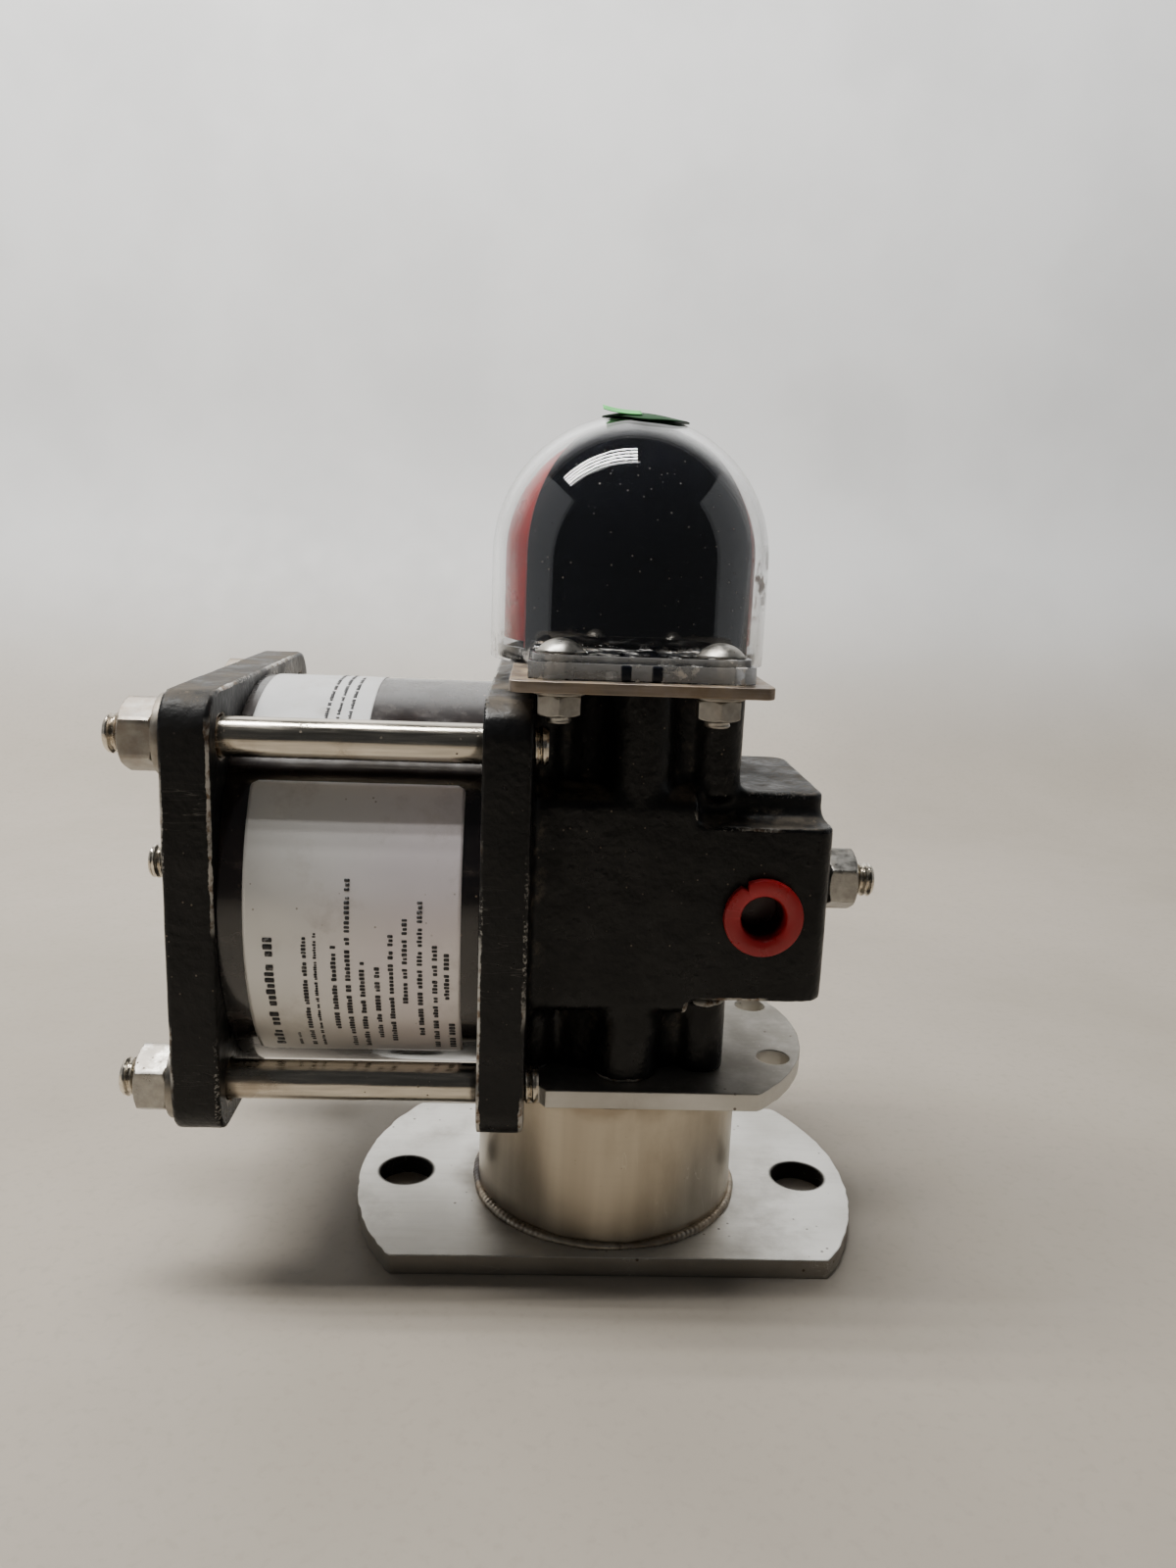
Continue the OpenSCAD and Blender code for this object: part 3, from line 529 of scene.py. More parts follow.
def paint_look():
    """Gloss black paint over a rough casting, chipped at its edges, with pale dust on top."""
    look = Look("cast_iron_black_look", Specular_IOR_Level=0.28)
    colour = look.mix(look.cloud((45, 4.0), 0.35, 0.7), (0.0035, 0.0037, 0.0042),
                      (0.009, 0.009, 0.0095))
    rough = look.cloud((120, 5.0), 0.3, 0.7, 0.24, 0.44)
    film = look.cloud((22, 5.0, 0.65), 0.48, 0.72)
    colour = look.tint(colour, film, 0.12, (0.040, 0.040, 0.040))
    rough = look.shift(rough, film, 0.8, 0.62)
    specks = look.specks(420, 0.05, 0.11, (60, 3.0), 0.46, 0.6)
    colour = look.tint(colour, specks, 0.55, (0.30, 0.25, 0.19))
    marks = look.scratches(9, (6, 60, 60), (0.2, 0.5, 0.9), 0.008, 25, 0.55)
    marks = look.most(marks, look.scratches(7, (70, 8, 70), (0.7, 0.1, 0.4), 0.008, 30, 0.58))
    colour = look.tint(colour, marks, 0.32, (0.22, 0.21, 0.19))
    up = look.ramp(look.facing("Z"), 0.55, 0.95)
    dust = look.times(up, look.cloud((110, 6.0, 0.7), 0.38, 0.68))
    grains = look.times(up, look.cloud((900, 2.0, 0.6), 0.56, 0.7))
    dust = look.most(look.times(dust, 0.7), look.times(grains, 0.8))
    hollow = look.ramp(look.attribute("hollow"), 0.1, 0.6)
    caked = look.times(hollow, look.cloud((260, 5.0, 0.7), 0.5, 0.7))
    dust = look.most(dust, look.times(caked, 0.5))
    colour = look.tint(colour, dust, 0.62, (0.27, 0.225, 0.17))
    rough = look.blend(dust, rough, 0.9)
    height = look.times(look.noise(650, 3.0, 0.5), 1.0)
    edge = look.attribute("edge")
    bite = look.noise(330, 5.0, 0.7)
    chip = look.ramp(look.math("ADD", edge, look.times(bite, 1.15)), 1.02, 1.08)
    chip = look.times(chip, look.cloud((38, 3.0), 0.48, 0.58))
    bare = look.mix(look.cloud((500, 3.0), 0.45, 0.65), (0.62, 0.60, 0.55), (0.22, 0.15, 0.10))
    scuff = look.cloud((1500, 3.0, 0.6), 0.52, 0.60)
    scuff = look.times(scuff, look.ramp(look.math("ADD", edge, look.times(bite, 0.9)), 0.7, 1.0))
    scuff = look.times(scuff, look.cloud((26, 2.0), 0.52, 0.62))
    colour = look.tint(colour, scuff, 0.8, (0.50, 0.48, 0.44))
    colour = look.mix(chip, colour, bare)
    rough = look.blend(chip, rough, 0.75)
    height = look.math("SUBTRACT", height, look.times(chip, 0.9))
    rub = look.ramp(look.math("ADD", edge, look.times(bite, 0.5)), 0.62, 0.95)
    rough = look.shift(rough, rub, 0.6, 0.22)
    skin = look.bump(height, 0.42, 0.00045)
    grain = look.bump(look.cloud((2600, 2.0), 0.62, 0.72), 0.10, 0.00008, skin)
    return look.done(colour, rough, look.bump(look.noise(140, 2.0), 0.30, 0.0012, grain))


def tube_look():
    """Dark composite tube with a faint weave, smears, specks and a little dust."""
    look = Look("composite_tube_look", Specular_IOR_Level=0.55, Coat_Weight=0.6,
                Coat_Roughness=0.07)
    warm = look.cloud((26, 3.0), 0.4, 0.65)
    colour = look.mix(warm, (0.006, 0.0064, 0.0078), (0.015, 0.010, 0.0095))
    weave = look.noise(160, 3.0, 0.5, look.stretch((9, 1.2, 1.2)))
    colour = look.mix(look.ramp(weave, 0.5, 0.75, 0.0, 0.3), colour, (0.04, 0.03, 0.026))
    smear = look.cloud((70, 5.0, 0.6, look.stretch((1, 1, 3))), 0.5, 0.72)
    colour = look.tint(colour, smear, 0.3, (0.11, 0.085, 0.07))
    specks = look.specks(330, 0.05, 0.10, (50, 3.0), 0.5, 0.62)
    colour = look.tint(colour, specks, 0.8, (0.34, 0.27, 0.19))
    up = look.ramp(look.facing("Z"), 0.75, 1.0)
    dust = look.times(up, look.cloud((240, 5.0, 0.7), 0.44, 0.66))
    colour = look.tint(colour, dust, 0.08, (0.26, 0.22, 0.17))
    rough = look.cloud((90, 4.0), 0.35, 0.7, 0.14, 0.30)
    rough = look.shift(rough, smear, 0.5, 0.5)
    rough = look.shift(rough, dust, 0.4, 0.6)
    return look.done(colour, rough, look.bump(weave, 0.10, 0.00025))


def steel_look(name, colour, rough_low, rough_high, stretch, stain=0.35, wear=0.3, scale=220,
               bump=0.12, dust=0.0):
    """Worked steel: fine tool lines in one direction, brown stains and small dark pits."""
    look = Look(name, Metallic=1.0)
    lines = look.noise(scale, 5.0, 0.6, look.stretch(stretch))
    patches = look.cloud((55, 5.0, 0.65), 0.46, 0.70)
    dull = tuple(c * 0.62 for c in colour)
    base = look.mix(look.ramp(lines, 0.3, 0.75), dull, colour)
    base = look.tint(base, patches, stain, (0.24, 0.165, 0.10))
    pits = look.specks(520, 0.06, 0.14, (85, 3.0), 0.50, 0.62)
    base = look.tint(base, pits, 0.85, (0.10, 0.065, 0.04))
    marks = look.scratches(8, (8, 55, 55), (0.4, 0.9, 0.3), 0.010, 30, 0.50)
    base = look.tint(base, marks, wear, (0.85, 0.82, 0.76))
    rough = look.ramp(lines, 0.25, 0.75, rough_low, rough_high)
    rough = look.shift(rough, patches, 0.6, rough_high + 0.2)
    rough = look.blend(pits, rough, 0.75)
    height = look.math("SUBTRACT", lines, look.times(pits, 0.7))
    if dust:
        settled = look.ramp(look.facing("Z"), 0.2, 0.9, 0.35, 1.0)
        settled = look.times(settled, look.cloud((170, 6.0, 0.72), 0.44, 0.62, 0.0, dust))
        base = look.mix(settled, base, (0.36, 0.27, 0.17))
        rough = look.blend(settled, rough, 0.85)
        look.set("Metallic", look.math("SUBTRACT", 1.0, settled))
    return look.done(base, rough, look.bump(height, bump, 0.0002))


def plate_steel_look():
    """Satin stainless plate: cloudy, with scratches, grime, a brown tint near the weld and painted shade
    in the bolt holes.
    """
    look = Look("stainless_plate_look", Metallic=0.8)
    cloud = look.noise(32, 5.0, 0.6)
    lines = look.noise(260, 5.0, 0.6, look.stretch((0.25, 3.0, 3.0), (0, 0, 0.35)))
    base = look.mix(look.ramp(cloud, 0.3, 0.7), (0.80, 0.78, 0.73), (0.96, 0.945, 0.90))
    base = look.mix(look.ramp(lines, 0.45, 0.8, 0.0, 0.18), base, (0.50, 0.47, 0.42))
    grime = look.cloud((38, 6.0, 0.7), 0.50, 0.74)
    base = look.tint(base, grime, 0.32, (0.30, 0.265, 0.21))
    spread = look.math("POWER", look.axis("X"), 2.0)
    spread = look.math("ADD", spread, look.math("POWER", look.axis("Y"), 2.0))
    away = look.math("ADD", look.math("SQRT", spread), look.times(look.noise(60, 4.0), 0.014))
    heat = look.ramp(away, 0.036, 0.045, 1.0, 0.0)
    left = look.ramp(look.axis("X"), -0.034, -0.012, 1.0, 0.25)
    base = look.mix(look.times(look.times(heat, left), 0.75), base, (0.17, 0.125, 0.085))
    side = look.ramp(look.math("ABSOLUTE", look.facing("Z")), 0.5, 0.8, 1.0, 0.0)
    foot = look.ramp(look.axis("Z"), 0.015, 0.030, 1.0, 0.1)
    base = look.mix(look.times(look.times(side, foot), 0.75), base, (0.16, 0.135, 0.105))
    # painted shade: the base plate's bolt holes and a thin rim round them are darkened near black
    hole_shade = look.math("ABSOLUTE", look.axis("X"))
    hole_shade = look.math("POWER", look.math("SUBTRACT", hole_shade, 0.0476), 2.0)
    hole_shade = look.math("ADD", hole_shade, look.math("POWER", look.axis("Y"), 2.0))
    hole_shade = look.ramp(look.math("SQRT", hole_shade), 0.0064, 0.0072, 1.0, 0.0)
    high = look.ramp(look.axis("Z"), 0.015, 0.030)
    hole_shade = look.blend(high, hole_shade, 0.0)
    worn = look.cloud((70, 5.0, 0.65), 0.25, 0.65, 0.35, 0.85)
    worn = look.times(worn, look.math("SUBTRACT", 1.0, side))
    base = look.tint(base, high, worn, (0.30, 0.27, 0.225))
    base = look.tint(base, hole_shade, 0.9, (0.025, 0.02, 0.017))
    marks = look.scratches(7, (7, 60, 60), (0.1, 0.2, 0.8), 0.006, 24, 0.50)
    marks = look.most(marks, look.scratches(6, (60, 8, 60), (0.2, 0.1, 0.5), 0.006, 28, 0.54))
    base = look.tint(base, marks, 0.5, (0.92, 0.90, 0.85))
    pits = look.specks(300, 0.06, 0.13, (60, 3.0), 0.52, 0.62)
    base = look.tint(base, pits, 0.8, (0.09, 0.06, 0.04))
    rough = look.ramp(cloud, 0.3, 0.7, 0.50, 0.38)
    rough = look.shift(rough, grime, 0.6, 0.55)
    rough = look.blend(look.most(side, hole_shade), rough, 0.6)
    height = look.math("SUBTRACT", look.times(lines, 0.5), look.times(marks, 0.6))
    return look.done(base, rough, look.bump(height, 0.10, 0.0002))


def pipe_look():
    """Satin stainless pipe: soft upright bands of painted reflection, faint brush lines, stains under
    the flange.
    """
    look = Look("stainless_pipe_look", Metallic=1.0)
    # painted reflection: soft upright bands of lighter and darker colour round the pipe
    painted_reflection_bands = look.noise(70, 3.0, 0.5, look.stretch((1.4, 1.4, 0.10)))
    lines = look.noise(170, 4.0, 0.6, look.stretch((0.3, 0.3, 6.0)))
    base = look.mix(look.ramp(painted_reflection_bands, 0.3, 0.7), (0.44, 0.385, 0.305), (0.64, 0.575, 0.465))
    base = look.mix(look.ramp(lines, 0.5, 0.8, 0.0, 0.14), base, (0.42, 0.36, 0.28))
    patches = look.cloud((36, 6.0, 0.7, look.stretch((1, 1, 0.5))), 0.48, 0.74)
    base = look.tint(base, patches, 0.4, (0.36, 0.29, 0.20))
    low = look.ramp(look.math("ADD", look.axis("Z"), look.times(look.noise(90, 3.0), 0.006)),
                    0.009, 0.014, 1.0, 0.0)
    left = look.ramp(look.axis("X"), -0.026, -0.008, 1.0, 0.2)
    base = look.mix(look.times(look.times(low, left), 0.7), base, (0.14, 0.115, 0.10))
    high = look.ramp(look.math("ADD", look.axis("Z"), look.times(look.noise(110, 3.0), 0.008)),
                     0.037, 0.041)
    base = look.tint(base, high, 0.5, (0.24, 0.175, 0.11))
    marks = look.scratches(7, (40, 40, 6), (0.1, 0.1, 0.0), 0.006, 30, 0.52)
    base = look.tint(base, marks, 0.4, (0.9, 0.86, 0.78))
    specks = look.spots(420, 0.05, 0.10)
    gather = look.ramp(look.axis("Z"), 0.018, 0.036, 0.25, 1.0)
    specks = look.times(specks, look.times(gather, look.cloud((60, 3.0), 0.46, 0.6)))
    base = look.tint(base, specks, 0.8, (0.14, 0.09, 0.05))
    rough = look.ramp(painted_reflection_bands, 0.3, 0.7, 0.27, 0.36)
    rough = look.shift(rough, patches, 0.6, 0.48)
    return look.done(base, rough, look.bump(lines, 0.045, 0.0002))


def weld_look():
    """Bare weld metal with straw, brown and blue tints in patches."""
    look = Look("weld_look", Metallic=1.0)
    tone = look.noise(150, 4.0, 0.55)
    base = look.mix(look.ramp(tone, 0.35, 0.65), (0.38, 0.335, 0.27), (0.62, 0.565, 0.47))
    straw = look.cloud((70, 3.0), 0.46, 0.62)
    base = look.tint(base, straw, 0.55, (0.28, 0.185, 0.10))
    left = look.ramp(look.axis("X"), -0.028, -0.012, 1.0, 0.15)
    blue = look.times(left, look.cloud((85, 3.0), 0.42, 0.6))
    base = look.tint(base, blue, 0.8, (0.055, 0.055, 0.07))
    soot = look.cloud((300, 5.0, 0.7), 0.56, 0.68)
    base = look.tint(base, soot, 0.5, (0.05, 0.04, 0.03))
    return look.done(base, look.cloud((400, 4.0), 0.3, 0.7, 0.28, 0.5),
                     look.bump(look.noise(900, 3.0), 0.25, 0.0002))


def plastic_look(name, colour, dark, rough=0.3, dust=0.35, hollow=False, **constants):
    """Moulded plastic with mottling, fine scratches and a little dust; painted shade inside the port
    cap's socket when hollow is set.
    """
    look = Look(name, **constants)
    base = look.mix(look.cloud((80, 4.0), 0.35, 0.7), dark, colour)
    marks = look.scratches(9, (8, 70, 70), (0.5, 0.2, 0.9), 0.010, 40, 0.5)
    light = tuple(min(1.0, c * 1.5 + 0.08) for c in colour)
    base = look.tint(base, marks, 0.35, light)
    grime = look.times(look.cloud((130, 5.0, 0.7), 0.5, 0.72), dust)
    base = look.mix(grime, base, (0.20, 0.165, 0.125))
    # painted shade: the inside of the port cap's socket is darkened near black
    if hollow:
        across = look.math("SUBTRACT", look.axis("X"), (PORT_LO[0] + PORT_HI[0]) / 2 * MM)
        upward = look.math("SUBTRACT", look.axis("Z"), AXIS_Z * MM)
        reach = look.math("ADD", look.math("POWER", across, 2.0), look.math("POWER", upward, 2.0))
        socket_shade = look.ramp(look.math("SQRT", reach), 0.0046, 0.0052, 1.0, 0.0)
        socket_shade = look.times(socket_shade, look.ramp(look.axis("Y"), -0.0305, -0.0275))
        base = look.tint(base, socket_shade, 0.93, (0.018, 0.008, 0.008))
    value = look.cloud((150, 4.0), 0.3, 0.7, rough * 0.75, rough * 1.3)
    value = look.shift(value, marks, 0.5, 0.6)
    return look.done(base, value, look.bump(look.noise(500, 3.0), 0.10, 0.0002))


def mask_look():
    """Gloss black moulding seen through the dome, with a few pale specks."""
    look = Look("indicator_black_look", Specular_IOR_Level=0.6)
    base = look.mix(look.cloud((30, 3.0), 0.4, 0.7), (0.009, 0.0105, 0.016),
                    (0.013, 0.015, 0.022))
    dots = look.specks(560, 0.07, 0.12, (190, 2.0), 0.42, 0.52)
    base = look.tint(base, dots, 0.8, (0.42, 0.36, 0.30))
    rough = look.cloud((40, 3.0), 0.3, 0.7, 0.02, 0.05)
    return look.done(base, look.blend(dots, rough, 0.6), look.bump(look.noise(24, 2.0), 0.04, 0.0010))


def clear_look():
    """Clear moulding: clean bell, cloudy flange sides, brown smudges on its right wall."""
    look = Look("clear_polycarbonate_look", IOR=1.49)
    haze = look.cloud((40, 4.0, 0.6), 0.5, 0.75)
    base = look.mix(look.times(haze, 0.2), (0.985, 0.99, 0.99), (0.93, 0.935, 0.93))
    right = look.ramp(look.axis("X"), 0.0215, 0.026)
    height = look.times(look.ramp(look.axis("Z"), 0.139, 0.142),
                        look.ramp(look.axis("Z"), 0.150, 0.156, 1.0, 0.0))
    smudge = look.times(look.times(right, height), look.cloud((190, 4.0), 0.52, 0.62))
    base = look.tint(base, smudge, 0.85, (0.30, 0.21, 0.14))
    marks = look.scratches(8, (9, 70, 70), (0.3, 0.8, 0.5), 0.004, 40, 0.60)
    marks = look.most(marks, look.scratches(8, (70, 70, 9), (0.5, 0.2, 0.3), 0.004, 45, 0.62))
    low = look.ramp(look.axis("Z"), 0.1344, 0.1352, 1.0, 0.0)
    side = look.ramp(look.math("ABSOLUTE", look.facing("Z")), 0.35, 0.6, 1.0, 0.0)
    beyond = look.ramp(look.math("ABSOLUTE", look.axis("Y")), 0.0298, 0.0306)
    cloudy = look.times(look.times(low, side), beyond)
    streaks = look.cloud((90, 4.0, 0.6, look.stretch((1, 1, 3))), 0.35, 0.65)
    base = look.mix(cloudy, base, look.mix(streaks, (0.74, 0.735, 0.72), (0.95, 0.95, 0.945)))
    dust = look.times(low, look.cloud((230, 6.0, 0.7), 0.55, 0.68))
    base = look.tint(base, dust, 0.5, (0.48, 0.38, 0.26))
    rough = look.cloud((90, 4.0), 0.3, 0.7, 0.008, 0.02)
    rough = look.shift(rough, smudge, 0.8, 0.5)
    rough = look.shift(rough, marks, 0.6, 0.4)
    rough = look.shift(rough, cloudy, 0.9, 0.16)
    veil = look.most(look.times(cloudy, 0.32), look.most(look.times(smudge, 0.5), dust))
    look.set("Transmission Weight", look.math("SUBTRACT", 1.0, look.times(veil, 0.9)))
    return look.done(base, rough, look.bump(look.noise(28, 2.0), 0.03, 0.0006))


def foil_label_look():
    """Satin foil label: a painted reflection that turns from silver to pinkish in the middle, cream at
    the edges, painted shade on its lower part, with print rules.
    """
    look = Look("silver_label_look", Metallic=0.28, Coat_Weight=0.35, Coat_Roughness=0.16)
    # painted reflection: the colour turns from silver to pinkish along the label
    painted_reflection_along = look.ramp(look.axis("X"), -0.074, -0.033)
    fade = look.cloud((26, 2.0), 0.35, 0.65)
    base = look.mix(painted_reflection_along, (0.86, 0.865, 0.85), (0.92, 0.84, 0.885))
    base = look.tint(base, fade, 0.5, (0.93, 0.91, 0.875))
    # painted shade: the label darkens towards its lower part, which curves down away from the lamps
    low = look.ramp(look.axis("Z"), 0.050, 0.076, 1.0, 0.0)
    base = look.tint(base, low, 0.55, (0.50, 0.45, 0.37))
    grime = look.cloud((75, 6.0, 0.7), 0.52, 0.74)
    base = look.tint(base, grime, 0.28, (0.36, 0.32, 0.26))
    dots = look.specks(300, 0.04, 0.08, (60, 3.0), 0.5, 0.6)
    base = look.tint(base, dots, 0.7, (0.25, 0.2, 0.15))
    rough = look.shift(look.cloud((110, 4.0), 0.3, 0.7, 0.30, 0.44), grime, 0.6, 0.65)
    return look.done(base, rough, look.bump(look.noise(160, 3.0), 0.08, 0.0004))


def paper_label_look():
    """White paper label, unevenly soiled."""
    look = Look("white_label_look", Coat_Weight=0.3, Coat_Roughness=0.2)
    base = look.mix(look.cloud((60, 4.0), 0.4, 0.7), (0.74, 0.745, 0.75), (0.64, 0.64, 0.63))
    grime = look.cloud((90, 6.0, 0.7), 0.5, 0.72)
    base = look.tint(base, grime, 0.4, (0.42, 0.37, 0.30))
    return look.done(base, look.cloud((100, 4.0), 0.3, 0.7, 0.3, 0.5),
                     look.bump(look.noise(200, 3.0), 0.1, 0.0003))


def ink_look():
    """Worn black print."""
    look = Look("print_ink_look")
    worn = look.cloud((700, 4.0, 0.6), 0.55, 0.72)
    return look.done(look.tint((0.03, 0.03, 0.033), worn, 0.6, (0.42, 0.41, 0.40)),
                     look.cloud((120, 3.0), 0.3, 0.7, 0.35, 0.5),
                     look.bump(look.noise(500, 2.0), 0.05, 0.0001))


def rubber_look():
    """Matt black rubber with dust."""
    look = Look("seal_rubber_look")
    dust = look.cloud((200, 5.0, 0.7), 0.45, 0.7)
    return look.done(look.mix(dust, (0.016, 0.016, 0.017), (0.07, 0.062, 0.052)),
                     look.cloud((150, 3.0), 0.3, 0.7, 0.5, 0.75),
                     look.bump(look.noise(900, 3.0), 0.15, 0.0002))


def sticker_look(name, colour, dark, rough):
    """Creased plastic film."""
    look = Look(name, Specular_IOR_Level=0.2)
    base = look.mix(look.cloud((90, 4.0), 0.4, 0.7), colour, dark)
    crease = look.cloud((240, 3.0, 0.6, look.stretch((1, 4, 4))), 0.56, 0.66)
    base = look.tint(base, crease, 0.3, tuple(min(1, c * 1.4) for c in colour))
    return look.done(base, look.cloud((140, 3.0), 0.3, 0.7, rough * 0.8, rough * 1.2),
                     look.bump(look.noise(260, 3.0), 0.3, 0.0004))


PAINT = paint_look()
TUBE = tube_look()
ROD = steel_look("tie_rod_look", (0.86, 0.79, 0.67), 0.11, 0.24, (0.3, 6, 6), 0.50, 0.3)
NUT = steel_look("nut_look", (0.50, 0.485, 0.45), 0.24, 0.42, (1.5, 1.5, 1.5), 0.5, 0.4, 260, 0.2,
                 0.25)
WASHER = steel_look("washer_look", (0.42, 0.40, 0.36), 0.32, 0.48, (1.5, 1.5, 1.5), 0.55, 0.4, 240,
                    0.12, 0.3)
TURNED = steel_look("turned_steel_look", (0.55, 0.54, 0.52), 0.22, 0.36, (1, 1, 8), 0.15, 0.3)
MILLED = steel_look("milled_steel_look", (0.42, 0.42, 0.43), 0.28, 0.45, (0.4, 5, 5), 0.2, 0.3)
BLACK_SCREW = steel_look("oxide_screw_look", (0.12, 0.12, 0.12), 0.3, 0.45, (2, 2, 2), 0.2, 0.2)
SHEET_STEEL = steel_look("top_plate_look", (0.40, 0.34, 0.29), 0.30, 0.46, (0.3, 4, 4), 0.6, 0.4,
                         200, 0.15, 0.75)
ALUMINIUM = steel_look("piston_look", (0.72, 0.72, 0.73), 0.25, 0.4, (6, 1, 1), 0.1, 0.2)
BRONZE = steel_look("bronze_look", (0.55, 0.36, 0.16), 0.3, 0.45, (1, 1, 6), 0.2, 0.2)
PLATE_STEEL = plate_steel_look()
PIPE = pipe_look()
WELD = weld_look()
RED_CAP = plastic_look("red_cap_look", (0.52, 0.016, 0.022), (0.40, 0.010, 0.015), 0.34, 0.10,
                       hollow=True, Subsurface_Weight=0.06)
RED_PANEL = plastic_look("indicator_red_look", (0.60, 0.02, 0.02), (0.48, 0.014, 0.016), 0.35, 0.15)
# painted reflection: dull red for strips that stand in for the red panels' reflection at the mask's
# window edges
RED_EDGE_REFLECTION = plastic_look("red_edge_reflection_look", (0.50, 0.10, 0.10), (0.38, 0.05, 0.055), 0.35, 0.15)
GREEN_PANEL = plastic_look("indicator_green_look", (0.02, 0.28, 0.07), (0.015, 0.2, 0.05), 0.35,
                           0.15)
CORE = plastic_look("indicator_core_look", (0.015, 0.015, 0.016), (0.010, 0.010, 0.011), 0.4, 0.1)
GUIDE = plastic_look("guide_plastic_look", (0.62, 0.58, 0.46), (0.5, 0.46, 0.36), 0.45, 0.2)
MASK = mask_look()
CLEAR = clear_look()
FOIL = foil_label_look()
PAPER = paper_label_look()
INK = ink_look()
RUBBER = rubber_look()
STICKER = sticker_look("green_sticker_look", (0.022, 0.085, 0.03), (0.014, 0.055, 0.02), 0.6)
FLAP = sticker_look("green_flap_look", (0.16, 0.78, 0.20), (0.12, 0.64, 0.16), 0.5)


# ---- Castings ----

def neighbour_mean(values, edges, counts):
    """The mean of each point's neighbours along the edges."""
    total = np.zeros_like(values)
    for k in range(values.shape[1]):
        total[:, k] = np.bincount(edges[:, 0], values[edges[:, 1], k], len(values))
        total[:, k] += np.bincount(edges[:, 1], values[edges[:, 0], k], len(values))
    return total / counts[:, None]


def casting(name, node, voxel, free, fillet_steps, body, seed):
    """A softened copy of a machined-looking node, with filleted inner corners, a slightly wavy
    sand-cast skin, and its edges and hollows kept as attributes. free(points) says where the
    skin may move; bores and fitted faces stay put."""
    mesh = NODES[node].data.copy()
    mesh.name = name
    obj = added(name, mesh)
    tidy_mesh(mesh, 2e-6)
    remesh = obj.modifiers.new("Remesh", "REMESH")
    remesh.mode = "VOXEL"
    remesh.voxel_size = voxel * MM
    mesh = baked(obj)
    count = len(mesh.vertices)
    points = np.zeros(count * 3)
    mesh.vertices.foreach_get("co", points)
    points = points.reshape(-1, 3) / MM
    edges = np.zeros(len(mesh.edges) * 2, np.int64)
    mesh.edges.foreach_get("vertices", edges)
    edges = edges.reshape(-1, 2)
    counts = np.bincount(edges.ravel(), minlength=count).astype(float)
    loose = free(points)[:, None]
    for step in range(4):
        points = points + (neighbour_mean(points, edges, counts) - points) * 0.5 * (
            0.35 + 0.65 * loose)
    for step in range(fillet_steps):
        if step % 8 == 0:
            normals = vertex_normals(mesh, points)
        pull = neighbour_mean(points, edges, counts) - points
        outward = np.sum(pull * normals, axis=1, keepdims=True)
        points = points + loose * np.where(outward > 0, outward * normals * 0.9, 0) \
            + loose * (pull - outward * normals) * 0.3
    normals = vertex_normals(mesh, points)
    pull = neighbour_mean(points, edges, counts) - points
    bend = np.sum(pull * normals, axis=1, keepdims=True)
    for step in range(3):
        bend = bend * 0.4 + neighbour_mean(bend, edges, counts) * 0.6
    curvature = -4 * bend[:, 0] / voxel ** 2
    edge = np.clip((curvature - 0.22) / 0.45, 0, 1)
    hollow = np.clip((-curvature - 0.03) / 0.25, 0, 1)
    wave = 0.10 * value_noise(points, 9.0, seed) + 0.05 * value_noise(points, 3.2, seed + 1)
    dents = -0.25 * np.clip(value_noise(points, 2.4, seed + 2) - 0.45, 0, 1) * edge
    points = points + normals * loose * (wave + dents)[:, None]
    mesh.vertices.foreach_set("co", (points * MM).ravel())
    mesh.update()
    for label, values in (("edge", edge), ("hollow", hollow)):
        layer = mesh.attributes.new(label, "FLOAT", "POINT")
        layer.data.foreach_set("value", values.astype(np.float32))
    dress(obj, PAINT, body, [node], None)
    return obj


def vertex_normals(mesh, points):
    """The mesh's normals once its vertices stand at these points."""
    mesh.vertices.foreach_set("co", (points * MM).ravel())
    mesh.update()
    normals = np.zeros(len(mesh.vertices) * 3)
    mesh.vertices.foreach_get("normal", normals)
    return normals.reshape(-1, 3)


def away_from(points, centre, r, span):
    """1 outside a cylinder along an axis, 0 inside it, with a soft edge 1.5 mm wide."""
    axis, low, high = span
    others = [i for i in range(3) if i != axis]
    distance = np.hypot(points[:, others[0]] - centre[0], points[:, others[1]] - centre[1])
    inside = np.clip((r + 1.5 - distance) / 1.5, 0, 1)
    within = (points[:, axis] > low) & (points[:, axis] < high)
    return 1 - inside * within


def body_free(points):
    """Where the body casting's skin may move: not in bores, seats or the rack's room."""
    free = np.ones(len(points))
    for y in (-ROD_HALF, ROD_HALF):
        for z in (-ROD_HALF, ROD_HALF):
            free *= away_from(points, (y, AXIS_Z + z), ROD_R + 0.4, (0, -200, 200))
    port_x = (PORT_LO[0] + PORT_HI[0]) / 2
    free *= away_from(points, (port_x, AXIS_Z), 6.0, (1, -60, 0))
    free *= away_from(points, (0, AXIS_Z), 4.4, (0, 30, 60))
    hidden = (points[:, 0] > -34) & (points[:, 0] < 38.6) & (np.abs(points[:, 1]) < 21)
    hidden &= np.abs(points[:, 2] - AXIS_Z) < 11.6
    free *= 1 - hidden
    free *= away_from(points, (0, 0), 14.8, (2, 0, 300))
    free *= points[:, 0] > BODY_FACE_X + 0.2
    free *= (points[:, 2] > BODY_LO[2] + 0.2) * (points[:, 2] < BODY_HI[2] - 0.2) + 0.0
    return np.clip(free, 0, 1)


